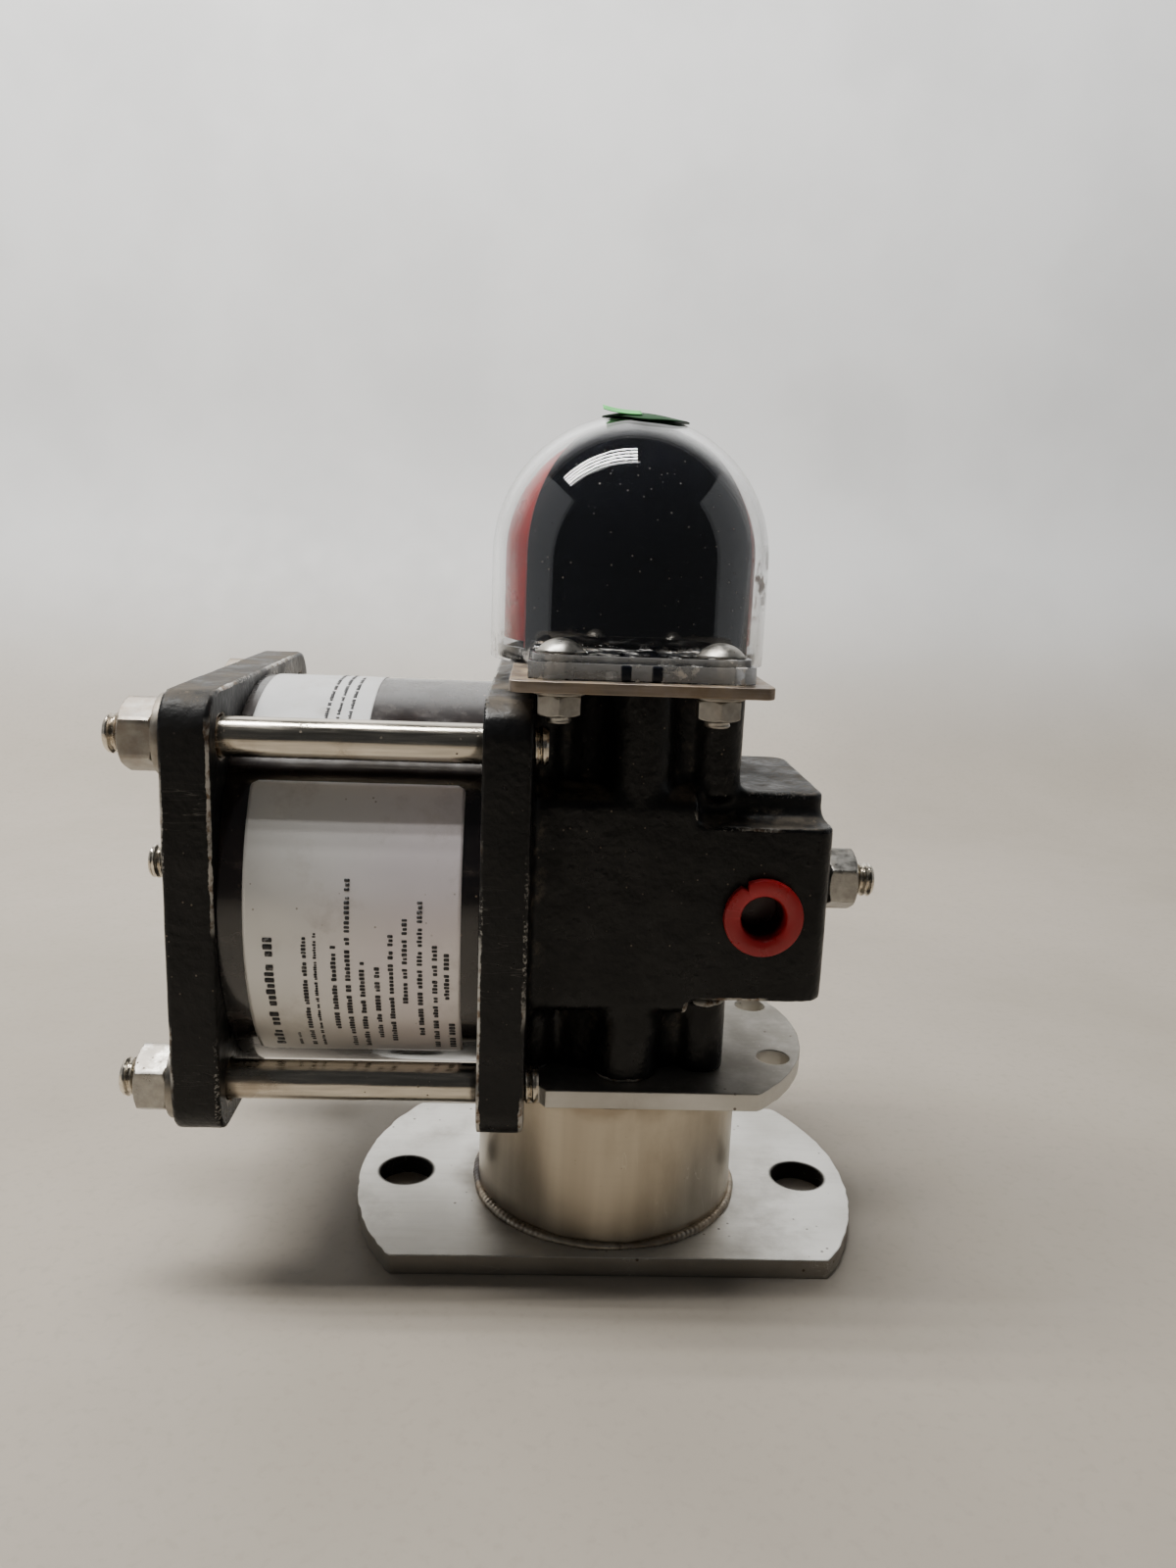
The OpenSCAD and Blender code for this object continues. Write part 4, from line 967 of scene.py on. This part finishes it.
def cap_free(points):
    """Where the end cap's skin may move: not in bores or at the tube's face."""
    free = np.ones(len(points))
    for y in (-ROD_HALF, ROD_HALF):
        for z in (-ROD_HALF, ROD_HALF):
            free *= away_from(points, (y, AXIS_Z + z), ROD_R + 0.4, (0, -200, 200))
    free *= away_from(points, (0, AXIS_Z), 4.4, (0, -200, 0))
    free *= away_from(points, (22, AXIS_Z), 6.0, (0, -200, 0))
    free *= points[:, 0] < CAP_FACE_X - 0.1
    return np.clip(free, 0, 1)


VOXEL = 0.6
casting("body_cast", "body_casting", VOXEL, body_free, 36, "housing", 3)
casting("end_cap_cast", "outer_end_cap", VOXEL, cap_free, 12, "housing", 11)


# ---- Cylinder ----

piece("tube", rings([CAP_FACE_X, CAP_FACE_X + 0.1, BODY_FACE_X - 0.1, BODY_FACE_X, BODY_FACE_X,
                     CAP_FACE_X],
                    [TUBE_R - 0.1, TUBE_R, TUBE_R, TUBE_R - 0.1, TUBE_R - TUBE_WALL, TUBE_R - TUBE_WALL],
                    "X", (0, 0, AXIS_Z), 256, closed=True),
      TUBE, nodes=["cylinder_tube"])

rod_shapes, nut_shapes, washer_shapes = [], [], []
for z in (-ROD_HALF, ROD_HALF):
    for y in (-ROD_HALF, ROD_HALF):
        place = (0, y, AXIS_Z + z)
        spans = [(ROD_LO[0] + 0.2, NUT_HI[0] + 2), (BODY_BACK_X - 6, ROD_HI[0] - 0.2)]
        rod_shapes.append(threaded(ROD_LO[0], ROD_HI[0], ROD_R, spans, place))
        nut_shapes.append(hex_nut(NUT_LO[0], NUT_HI[0], NUT_AF, ROD_R - 0.1, place, HEX_TURN))
        washer_shapes.append(washer(WASHER_LO[0], WASHER_HI[0], 8.0, ROD_R + 0.2, place))
piece("tie_rods_threaded", merged(rod_shapes), ROD, nodes=["tie_rods"])
piece("tie_rod_nuts_chamfered", merged(nut_shapes), NUT, nodes=["tie_rod_nuts"])
piece("tie_rod_washers_round", merged(washer_shapes), WASHER, nodes=["tie_rod_washers"])

# ---- Travel stops ----

RIGHT_LO, RIGHT_HI = box_mm("right_stop_screw")
LEFT_LO, LEFT_HI = box_mm("left_stop_screw")
LOCK_LO, LOCK_HI = box_mm("stop_lock_nuts")
SEAL_LO, SEAL_HI = box_mm("stop_thread_seals")
STOP_AT = (0, 0, AXIS_Z)
right_screw = threaded(-RIGHT_HI[0], -RIGHT_LO[0], ROD_R, [(-RIGHT_HI[0] + 0.2, -RIGHT_LO[0] - 1)],
                       STOP_AT, socket=SOCKET_AF)
right_screw = (right_screw[0] * np.array([-1, 1, 1]), right_screw[1])
piece("right_stop_threaded", right_screw, ROD, "right_stop", ["right_stop_screw"])
left_screw = threaded(LEFT_LO[0], LEFT_HI[0], ROD_R, [(LEFT_LO[0] + 0.2, LEFT_HI[0] - 1)], STOP_AT,
                      socket=SOCKET_AF)
piece("left_stop_threaded", left_screw, ROD, "left_stop", ["left_stop_screw"])
piece("stop_lock_nuts_chamfered",
      merged([hex_nut(x, x + LOCK_NUT_LENGTH, NUT_AF, ROD_R + 0.04, STOP_AT, HEX_TURN)
              for x in (LOCK_LO[0], LOCK_HI[0] - LOCK_NUT_LENGTH)]),
      NUT, nodes=["stop_lock_nuts"])
piece("stop_thread_seals_round",
      merged([washer(x, x + SEAL_LENGTH, 7.2, ROD_R + 0.04, STOP_AT, edge=0.5)
              for x in (SEAL_LO[0], SEAL_HI[0] - SEAL_LENGTH)]),
      RUBBER, nodes=["stop_thread_seals"])

# ---- Port cap ----

PORT_AT = ((PORT_LO[0] + PORT_HI[0]) / 2, 0, AXIS_Z)
cap_y = PORT_LO[1]
cap_profile = [(cap_y + 1.95, 8.05), (cap_y + 1.7, 8.22), (cap_y + 0.5, 8.25), (cap_y + 0.15, 8.1),
               (cap_y, 7.8), (cap_y, 5.1), (cap_y + 0.25, 4.8), (cap_y + 1.0, 4.6),
               (cap_y + 8.0, 4.35), (cap_y + 8.8, 4.1), (cap_y + 8.8, 0), (PORT_HI[1], 0),
               (PORT_HI[1], 5.2), (PORT_HI[1] - 0.5, 5.6), (cap_y + 1.95, 5.6)]
theta = np.arange(128) * 2 * math.pi / 128
notch = np.clip(1 - np.abs(np.mod(theta - 5.75 + math.pi, 2 * math.pi) - math.pi) / 0.09, 0, 1)
cap_radii = [r - 1.3 * notch * (r > 6.5) for s, r in cap_profile]
piece("port_cap_moulded",
      rings([s for s, r in cap_profile], cap_radii, "Y", PORT_AT, 128, closed=True), RED_CAP,
      "port_cap", ["port_cap"], 40)

# ---- Top plate, dome and indicator ----

top_w = TOP_HI[0] - TOP_LO[0]
top_len = TOP_HI[1] - TOP_LO[1]
bolt_r = 21
screw_spots = [(bolt_r * math.cos(math.radians(a)), bolt_r * math.sin(math.radians(a)))
               for a in (45, 135, 225, 315)]
dome_spots = [(x, y) for x in (-15, 15) for y in (-40, 40)]
plate("top_plate_sheet",
      [rect_loop(top_w, top_len, 2, 0.12), circle_loop(0, 0, 8.6)]
      + [circle_loop(x, y, 2.7, 32) for x, y in dome_spots]
      + [circle_loop(x, y, 4.2, 40) for x, y in screw_spots],
      TOP_LO[2], TOP_HI[2], 0.25, SHEET_STEEL, ["top_plate"])


def dome_shape(segments=288):
    """Clear dome with its two-tier flange: a column of points for each direction."""
    theta = np.arange(segments) * 2 * math.pi / segments
    half_x = (41.98 / 2, 40.4 / 2)
    half_y = (DOME_HI[1] - 0.02, DOME_HI[1] - 0.8)
    outline = []
    for hx, hy in zip(half_x, half_y):
        px = hx / np.maximum(1e-6, np.abs(np.cos(theta)))
        py = hy / np.maximum(1e-6, np.abs(np.sin(theta)))
        reach = np.minimum(px, py)
        corner = np.hypot(hx, hy)
        outline.append(np.minimum(reach, corner - 1.2))
    low, high = outline
    z_low = DOME_LO[2] + 0.06
    tier = z_low + 3.3
    top = tier + 1.3
    stations, radii = [], []
    for a in np.linspace(0, 90, 40):
        stations.append(DOME_CENTRE_Z + DOME_R * math.cos(math.radians(a)))
        radii.append(np.full(segments, DOME_R * math.sin(math.radians(a))))
    for part in np.linspace(0.1, 0.9, 6):
        stations.append(DOME_CENTRE_Z + (top + 1.0 - DOME_CENTRE_Z) * part)
        radii.append(np.full(segments, DOME_R))
    for s, extra in ((top + 1.0, 0.0), (top + 0.35, 0.2), (top, 0.9)):
        stations.append(s)
        radii.append(np.where(high > DOME_R + 0.9, DOME_R + extra, DOME_R))
    for s, source, inset in ((top, high, 0.35), (top - 0.1, high, 0.1), (top - 0.35, high, 0.0),
                             (tier, high, 0.0), (tier, low, 0.3), (tier - 0.1, low, 0.08),
                             (tier - 0.3, low, 0.0), (z_low + 0.25, low, 0.0), (z_low, low, 0.25)):
        stations.append(s)
        radii.append(np.maximum(DOME_R, source - inset))
    inner = DOME_R - DOME_WALL
    stations.append(z_low)
    radii.append(np.full(segments, inner))
    for part in np.linspace(0.1, 1.0, 6):
        stations.append(z_low + (DOME_CENTRE_Z - z_low) * part)
        radii.append(np.full(segments, inner))
    for a in np.linspace(87, 0, 36):
        stations.append(DOME_CENTRE_Z + inner * math.cos(math.radians(a)))
        radii.append(np.full(segments, inner * math.sin(math.radians(a))))
    return rings(stations, radii, "Z", (0, 0, 0), segments)


piece("dome_clear", dome_shape(), CLEAR, nodes=["dome_cover"], crease=40,
      weld=2e-6)

# Smooth domed screws; their indistinct socket is left out
head_z = DOME_LO[2] + 4.6
screw_shapes, dome_washer_shapes, dome_nut_shapes = [], [], []
SCREW_LO, SCREW_HI = box_mm("dome_screws")
DN_LO, DN_HI = box_mm("dome_nuts")
DW_LO, DW_HI = box_mm("dome_washers")
for x, y in dome_spots:
    head = [(head_z, 2.5), (head_z, 4.65), (head_z + 0.25, 4.77), (head_z + 0.5, 4.72)]
    for a in np.linspace(35, 84, 10):
        head.append((SCREW_HI[2] - 5.43 + 5.43 * math.sin(math.radians(a)),
                     5.43 * math.cos(math.radians(a))))
    head += [(SCREW_HI[2], 0.0)]
    head = [h for h in head if h[0] >= head_z]
    head_rings = rings([s for s, r in head], [r for s, r in head], "Z", (x, y, 0), 48)
    shank = threaded(SCREW_LO[2], head_z, 2.5, [(SCREW_LO[2] + 0.1, TOP_LO[2])], (x, y, 0), "Z", 32,
                     0.4, 0.35)
    screw_shapes += [head_rings, shank]
    dome_nut_shapes.append(hex_nut(DN_LO[2], DN_HI[2], 8.0, 2.45, (x, y, 0), HEX_TURN, "Z", 96))
    dome_washer_shapes.append(washer(DW_LO[2], DW_HI[2], 5.0, 2.65, (x, y, 0), "Z", 48, 0.2))
piece("dome_screws_pan", merged(screw_shapes), NUT, nodes=["dome_screws"])
piece("dome_nuts_chamfered", merged(dome_nut_shapes), NUT, nodes=["dome_nuts"])
piece("dome_washers_round", merged(dome_washer_shapes), WASHER, nodes=["dome_washers"])


def sector_shell(r, wall, z0, spans, top_a=0.0, step_deg=1.5):
    """Bell-shaped shell in sectors about the stem axis, closed all round."""
    shapes = []
    for a0, a1 in spans:
        count = max(3, int((a1 - a0) / step_deg))
        outer, inner = [], []
        for a in np.linspace(a0, a1, count + 1):
            c, s = math.cos(math.radians(a)), math.sin(math.radians(a))
            col_out, col_in = [], []
            for z in np.linspace(z0, DOME_CENTRE_Z, 8)[:-1]:
                col_out.append((r * c, r * s, z))
                col_in.append(((r - wall) * c, (r - wall) * s, z))
            for b in np.linspace(0, 90 - top_a, 30):
                cb, sb = math.cos(math.radians(b)), math.sin(math.radians(b))
                col_out.append((r * cb * c, r * cb * s, DOME_CENTRE_Z + r * sb))
                col_in.append(((r - wall) * cb * c, (r - wall) * cb * s,
                               DOME_CENTRE_Z + (r - wall) * sb))
            outer.append(col_out)
            inner.append(col_in)
        rows = len(outer[0])
        verts = np.array([p for col in outer for p in col] + [p for col in inner for p in col])
        base = (count + 1) * rows
        faces = []
        for i in range(count):
            for j in range(rows - 1):
                a, b = i * rows + j, (i + 1) * rows + j
                faces.append((a, b, b + 1, a + 1))
                faces.append((base + a + 1, base + b + 1, base + b, base + a))
            a, b = i * rows, (i + 1) * rows
            faces.append((a, base + a, base + b, b))
            a, b = i * rows + rows - 1, (i + 1) * rows + rows - 1
            faces.append((b, base + b, base + a, a))
        for j in range(rows - 1):
            faces.append((j, j + 1, base + j + 1, base + j))
            k = count * rows + j
            faces.append((k + 1, k, base + k, base + k + 1))
        shapes.append((verts, faces))
    return merged(shapes)


def block(x0, x1, y0, y1, z0, z1, edge=0.2):
    """Box with its long edges eased, as a skin through rounded outlines."""
    outline = [(x0 + edge, y0), (x1 - edge, y0), (x1, y0 + edge), (x1, y1 - edge), (x1 - edge, y1),
               (x0 + edge, y1), (x0, y1 - edge), (x0, y0 + edge)]
    cx, cy = (x0 + x1) / 2, (y0 + y1) / 2
    verts, count = [], len(outline)
    for z, inset in ((z0, edge), (z0 + edge, 0), (z1 - edge, 0), (z1, edge)):
        for x, y in outline:
            sx = 1 - inset / max(0.1, (x1 - x0) / 2)
            sy = 1 - inset / max(0.1, (y1 - y0) / 2)
            verts.append((cx + (x - cx) * sx, cy + (y - cy) * sy, z))
    ends = [tuple(range(count))[::-1], tuple(range(3 * count, 4 * count))]
    return np.array(verts), ends + grid_faces(4, count)


mask_r = DOME_R - 1.6
ring_top = MASK_LO[2] + 2.8
window = 38
window_turn = 2.4
mask_spans = [(a + window + window_turn, a + 180 - window + window_turn) for a in (0, 180)]
mask_shapes = [sector_shell(mask_r, 0.8, ring_top - 0.1, mask_spans)]
mask_shapes.append(rings([MASK_LO[2], MASK_LO[2] + 0.2, ring_top - 0.2, ring_top, ring_top,
                          MASK_LO[2]],
                         [mask_r - 0.2, mask_r, mask_r, mask_r - 0.2, 20, 20], "Z", (0, 0, 0), 128,
                         closed=True))
for x in (-3.1, 2.6):
    mask_shapes.append(block(x - 1, x + 1, MASK_LO[1], -mask_r + 2, MASK_LO[2], ring_top))
mask_shapes.append(block(-12, 11.2, -45, -43, MASK_LO[2] + 1.4, ring_top))
piece("indicator_mask_moulded", merged(mask_shapes), MASK, nodes=["indicator_mask"],
      weld=2e-6)

# painted reflection: thin red strips on the mask's window edges, where the red panels only reflect
reflection_spans = []
for a in (window_turn, 180 + window_turn):
    reflection_spans += [(a - window + 0.1, a - window + 1.3), (a + window - 1.3, a + window - 0.1)]
piece("painted_red_edge_reflections", sector_shell(mask_r - 0.1, 0.5, ring_top, reflection_spans, top_a=9), RED_EDGE_REFLECTION,
      weld=2e-6)

PANEL_LO = box_mm("indicator_red_panels")[0]
panel_r = mask_r - 1.3
for name, node, turn, look, slot in (
        ("red_panels_moulded", "indicator_red_panels", 0, RED_PANEL, "indicator_red"),
        ("green_panels_moulded", "indicator_green_panels", 90, GREEN_PANEL, "indicator_green")):
    spans = [(turn - 44.8, turn + 44.8), (turn + 135.2, turn + 224.8)]
    piece(name, sector_shell(panel_r, 1.2, PANEL_LO[2], spans, top_a=31), look, "pinion", [node],
          weld=2e-6)

# ---- Sticker on the dome, with one edge lifted ----

sticker_r = DOME_R + 0.22
sticker_x, sticker_y = 1.9, -1.6
reach_deg = math.degrees(math.asin(9.2 / sticker_r))
verts = []
for i in range(17):
    b = math.radians(reach_deg * i / 16)
    for k in range(96):
        a = 2 * math.pi * k / 96
        ragged = 1 + 0.03 * math.sin(3 * a) + 0.015 * math.sin(7 * a + 1)
        bb = b * ragged if i else 0.0
        x = sticker_x + sticker_r * math.sin(bb) * math.cos(a)
        y = sticker_y + sticker_r * math.sin(bb) * math.sin(a)
        verts.append((x, y, DOME_CENTRE_Z + math.sqrt(sticker_r ** 2 - x * x - y * y)
                      + 0.5 * max(0.0, math.cos(a)) * (i / 16) ** 4))
sticker = piece("sticker_disc", (np.array(verts), grid_faces(17, 96)), STICKER,
                nodes=["dome_sticker"])
thicken(sticker, 0.15, 1)

verts = []
for i in range(13):
    part = i / 12
    for j in range(21):
        side = (j / 20 - 0.5) * 2
        x = 0.5 - 7.9 * part
        y = side * 3.8 * math.sqrt(max(0.05, 1 - (part * 0.8) ** 2)) - 5.4
        base = DOME_CENTRE_Z + math.sqrt(max(1.0, sticker_r ** 2 - (x * x + y * y)))
        lift = 0.35 + 1.7 * part ** 2.4 + 0.2 * part * math.sin(2.2 * side + 0.5)
        verts.append((x, y, base + lift))
flap = piece("sticker_flap", (np.array(verts), grid_faces(13, 21, wrap=False)), FLAP)
thicken(flap, 0.15, 1)

# ---- Bracket ----

plate("base_plate_cut",
      [cut_circle(BASE_HI[0], BASE_HI[1], 4, 0.45), circle_loop(0, 0, 20)]
      + [circle_loop(x, 0, 6.2, 64, 0.08, 7) for x in (-BASE_BOLT_X, BASE_BOLT_X)],
      BASE_LO[2], BASE_HI[2], 0.35, PLATE_STEEL, ["base_plate"])
flange_loop = [(x, max(-30.8, min(30.8, y)) if x < FLANGE_LO[0] + 3.3 else y)
               for x, y in cut_circle(44.5, FLANGE_HI[1], 9, 0.2, FLANGE_LO[0])]
plate("bracket_flange_cut",
      [flange_loop, circle_loop(0, 0, 12.2)]
      + [circle_loop(36, y, 3.7, 48, 0.05, 8) for y in (-14.8, 14.8)]
      + [circle_loop(x, y, 2.75, 32) for x, y in screw_spots],
      FLANGE_LO[2], FLANGE_HI[2], 0.3, PLATE_STEEL, ["bracket_flange"])

pipe_r = PIPE_HI[0]
pipe_in = pipe_r - 2.8
PIPE_NOTCH_Z = 35.4
pipe_z = np.linspace(PIPE_LO[2], PIPE_HI[2], 40)
pipe_stations = list(pipe_z) + [PIPE_HI[2], PIPE_LO[2]]
pipe_theta = np.arange(256) * 2 * math.pi / 256
pipe_radii = []
for z in pipe_z:
    spots = np.stack([np.cos(pipe_theta) * 30, np.sin(pipe_theta) * 30, np.full(256, z)], 1)
    pipe_radii.append(pipe_r - 0.05 + 0.05 * value_noise(spots, 14.0, 6))
pipe_radii += [np.full(256, pipe_in), np.full(256, pipe_in)]
pipe_verts, pipe_faces = rings(pipe_stations, pipe_radii, "Z", (0, 0, 0), 256, closed=True)
behind = pipe_verts[:, 0] < FLANGE_LO[0] - 0.3
pipe_verts[:, 2] = np.where(behind, np.minimum(pipe_verts[:, 2], PIPE_NOTCH_Z), pipe_verts[:, 2])
piece("pipe_satin", (pipe_verts, pipe_faces), PIPE, nodes=["bracket_pipe"])


def weld_bead(z, direction, leg, seed, keep=None, segments=720):
    """Rippled fillet bead round the pipe: overlapping crescents of slightly uneven size."""
    theta = np.arange(segments) * 2 * math.pi / segments
    spots = np.stack([np.cos(theta) * pipe_r, np.sin(theta) * pipe_r, np.full(segments, z)], 1)
    size = leg * (1 + 0.35 * value_noise(spots, 9.0, seed) + 0.12 * value_noise(spots, 3.0, seed))
    verts = []
    steps = 9
    for i in range(steps):
        part = i / (steps - 1)
        a = math.pi / 2 * part
        lag = 0.5 * math.sin(math.pi * part) / pipe_r
        ripple = 0.07 * np.abs(np.sin((theta - lag) * pipe_r / 1.25 * math.pi))
        bulge = 0.80 + 0.16 * math.sin(2 * a)
        reach = size * (bulge + ripple)
        rr = pipe_r + reach * math.cos(a)
        zz = z + direction * reach * math.sin(a)
        verts.append(np.stack([rr * np.cos(theta), rr * np.sin(theta), zz], 1))
    under = np.full(segments, z - direction * 0.05)
    for rr, zz in ((pipe_r - 0.3, z + direction * size * 0.8), (pipe_r - 0.3, under),
                   (pipe_r + size * 0.8, under)):
        verts.append(np.stack([rr * np.cos(theta), rr * np.sin(theta), zz], 1))
    count = len(verts)
    allowed = np.ones(segments, bool) if keep is None else keep(theta)
    faces = [f for f in grid_faces(count, segments, closed=True)
             if allowed[f[0] % segments] and allowed[f[1] % segments]]
    if keep is not None:
        for k in range(segments):
            m = (k + 1) % segments
            if allowed[k] != allowed[m]:
                end = k if allowed[k] else m
                faces.append(tuple(i * segments + end for i in range(count)))
    return np.concatenate(verts), faces


def under_flange(theta):
    """True where the flange is above the pipe, right of its straight cut."""
    return pipe_r * np.cos(theta) > FLANGE_LO[0] + 2.5


piece("weld_beads",
      merged([weld_bead(BASE_HI[2], 1, 1.4, 21), weld_bead(PIPE_HI[2], -1, 1.5, 31,
                                                           keep=under_flange)]),
      WELD, nodes=["bracket_welds"], crease=60)

# ---- Labels ----

LABEL_LO, LABEL_HI = box_mm("front_label")
TOPL_LO, TOPL_HI = box_mm("top_label")


def front_lift(part, across):
    """Height of the front label over the tube: slightly wavy, flat at its rim."""
    edge = min(part, 1 - part, across, 1 - across)
    return 0.13 + 0.04 * math.sin(11 * part + 3 * across) * min(1, edge * 8)


label = piece("front_label_sheet",
              sheet_on_tube(LABEL_LO[0], LABEL_HI[0], *FRONT_SPAN, TUBE_R, 1.5, lift=front_lift),
              FOIL, nodes=["front_label"], crease=None)
top_label = piece("top_label_sheet",
                  sheet_on_tube(TOPL_LO[0], TOPL_HI[0], *TOP_SPAN, TUBE_R, 0.8,
                                lift=lambda p, q: 0.13),
                  PAPER, nodes=["top_label"], crease=None)
for sheet in (label, top_label):
    thicken(sheet, 0.12, -1)


def print_marks(x0, x1, a0, a1, columns, seed):
    """Rows of plain letter-sized blocks in place of the printed lines of a label. A column is
    (place across the label, start, end, block height), all but the height from 0 to 1."""
    arc_length = math.radians(a1 - a0) * TUBE_R
    pick = np.random.RandomState(seed)
    shapes = []
    for across, start, end, height in columns:
        x = x0 + (x1 - x0) * across
        at = start * arc_length
        while at < end * arc_length:
            for letter in range(pick.randint(2, 9)):
                wide = height * (0.45 + 0.25 * pick.rand())
                low = height * (0.2 * (pick.rand() > 0.6))
                if at + wide > end * arc_length:
                    break
                from_deg = a0 + math.degrees(at / TUBE_R)
                to_deg = a0 + math.degrees((at + wide) / TUBE_R)
                shapes.append(sheet_on_tube(x - height / 2 + low, x + height / 2, from_deg, to_deg,
                                            TUBE_R + 0.19, 0.1, 2, 2))
                at += wide + height * 0.22
            at += height * 0.75
    return merged(shapes)


FRONT_COLUMNS = [(0.11, 0.04, 0.53, 1.9), (0.21, 0.04, 0.13, 0.7), (0.275, 0.04, 0.53, 1.0),
                 (0.325, 0.04, 0.53, 0.7), (0.41, 0.15, 0.50, 1.1), (0.475, 0.04, 0.70, 1.1),
                 (0.54, 0.04, 0.44, 1.1), (0.61, 0.10, 0.44, 1.1), (0.675, 0.08, 0.54, 1.1),
                 (0.74, 0.28, 0.60, 1.1), (0.81, 0.12, 0.64, 1.1), (0.88, 0.04, 0.50, 1.1),
                 (0.935, 0.30, 0.48, 1.1), (0.955, 0.04, 0.19, 1.3)]
TOP_COLUMNS = [(0.62, 0.04, 0.80, 0.8), (0.72, 0.04, 0.74, 0.8), (0.82, 0.04, 0.60, 0.8)]
for name, marks in (
        ("front_label_marks", print_marks(LABEL_LO[0], LABEL_HI[0], *FRONT_SPAN, FRONT_COLUMNS, 4)),
        ("top_label_marks", print_marks(TOPL_LO[0], TOPL_HI[0], *TOP_SPAN, TOP_COLUMNS, 9))):
    thicken(piece(name, marks, INK, crease=None), 0.02, 1)

# ---- CAD nodes that stay, with their own materials ----

STAY = {
    "tube_seals": RUBBER, "rack": MILLED, "rack_guides": GUIDE, "piston": ALUMINIUM,
    "piston_seal": RUBBER, "piston_wear_band": GUIDE, "piston_screw": BLACK_SCREW,
    "pinion_shaft": TURNED, "lower_bearing": BRONZE, "upper_bearing": BRONZE,
    "thrust_washers": GUIDE, "shaft_seals": RUBBER, "bearing_retaining_ring": BLACK_SCREW,
    "stem_coupling": TURNED, "coupling_set_screw": BLACK_SCREW, "top_plate_screws": NUT,
    "indicator_core": CORE, "indicator_screw": NUT, "bracket_screws": BLACK_SCREW,
}
EASED = {"rack": 0.25, "rack_guides": 0.2, "piston": 0.3, "piston_screw": 0.15,
         "pinion_shaft": 0.12, "stem_coupling": 0.4, "bracket_screws": 0.2,
         "top_plate_screws": 0.1, "lower_bearing": 0.2, "upper_bearing": 0.2}
for node, look in STAY.items():
    kept = NODES[node]
    kept.data.materials.clear()
    kept.data.materials.append(look)
    weld = kept.modifiers.new("Weld", "WELD")
    weld.merge_threshold = 2e-6
    if node in EASED:
        bevel = kept.modifiers.new("Eased edges", "BEVEL")
        bevel.width = EASED[node] * MM
        bevel.segments = 2
        bevel.limit_method = "ANGLE"
        bevel.angle_limit = math.radians(40)
        bevel.use_clamp_overlap = True
        bevel.harden_normals = False

# ---- Floor, lights and camera ----


def stage_look():
    """Warm pale floor that turns into a cooler, lighter wall."""
    look = Look("stage_look")
    floor = look.mix(look.cloud((6, 4.0), 0.35, 0.7), (0.455, 0.405, 0.34), (0.40, 0.355, 0.295))
    floor = look.mix(look.cloud((400, 4.0), 0.5, 0.7, 0.0, 0.3), floor, (0.34, 0.30, 0.245))
    wall = look.mix(look.cloud((9, 4.0), 0.35, 0.7), (0.74, 0.74, 0.735), (0.67, 0.67, 0.665))
    base = look.mix(look.ramp(look.axis("Z"), 0.01, 0.16), floor, wall)
    return look.done(base, look.cloud((60, 4.0), 0.3, 0.7, 0.55, 0.75),
                     look.bump(look.noise(500, 3.0), 0.05, 0.0005))


def backdrop():
    """Floor that curves up into a wall behind the object."""
    profile = [(-1.2, 0.0), (0.35, 0.0)]
    profile += [(0.35 + 0.25 * math.sin(math.radians(a)), 0.25 - 0.25 * math.cos(math.radians(a)))
                for a in range(6, 91, 6)]
    profile.append((0.6, 1.6))
    verts = [(x, y, z) for y, z in profile for x in (-1.5, 1.5)]
    mesh = bpy.data.meshes.new("backdrop")
    mesh.from_pydata(verts, [], grid_faces(len(profile), 2, wrap=False))
    mesh.materials.append(stage_look())
    mesh.shade_smooth()
    added("backdrop", mesh)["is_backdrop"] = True


backdrop()

world = bpy.data.worlds.new("studio")
bpy.context.scene.world = world
world.use_nodes = True
background = world.node_tree.nodes["Background"]
background.inputs["Color"].default_value = (0.95, 0.97, 1.0, 1)
background.inputs["Strength"].default_value = 0.05


def area_light(name, place, target, size, power, colour):
    """A soft rectangular lamp aimed at a point."""
    data = bpy.data.lights.new(name, "AREA")
    data.shape = "RECTANGLE"
    data.size, data.size_y = size
    data.energy = power
    data.color = colour
    lamp = added(name, data)
    lamp.location = place
    lamp.rotation_mode = "QUATERNION"
    aim = Vector(target) - Vector(place)
    lamp.rotation_quaternion = aim.to_track_quat("-Z", "Y")


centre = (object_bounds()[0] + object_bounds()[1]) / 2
for row in range(4):
    strip_y = -0.10 + 0.055 * row
    area_light("overhead_strip_%d" % (row + 1), (-0.40, strip_y, 1.05), (-0.40, strip_y, 0.0),
               (0.85, 0.022), 4.6, (1.0, 0.985, 0.955))
area_light("wall_wash", (0.0, 0.10, 0.75), (0.0, 0.60, 0.70), (1.3, 0.3), 7.3, (0.98, 0.99, 1.0))
for name, place, power in (("left_panel", (-1.15, 0.05, 0.42), 1.3),
                           ("right_panel", (1.15, 0.10, 0.42), 1.0)):
    area_light(name, place, centre, (1.0, 1.3), power, (0.97, 0.985, 1.0))

CAMERA_AT = (-0.017969, -0.253183, 0.154339)
CAMERA_LENS = 26.313
YAW, PITCH, ROLL = (math.radians(a) for a in (2.4146, 11.8713, 2.1944))
forward = Vector((math.sin(YAW) * math.cos(PITCH), math.cos(YAW) * math.cos(PITCH),
                  -math.sin(PITCH)))
level = Vector((math.cos(YAW), -math.sin(YAW), 0))
above = level.cross(forward)
right = level * math.cos(ROLL) + above * math.sin(ROLL)
upward = above * math.cos(ROLL) - level * math.sin(ROLL)
camera_data = bpy.data.cameras.new("camera")
camera_data.sensor_width = 36
camera_data.lens = CAMERA_LENS
camera_data.clip_start = 0.01
camera = added("camera", camera_data)
place = Matrix((right, upward, -forward)).transposed().to_4x4()
place.translation = Vector(CAMERA_AT)
camera.matrix_world = place
bpy.context.scene.camera = camera
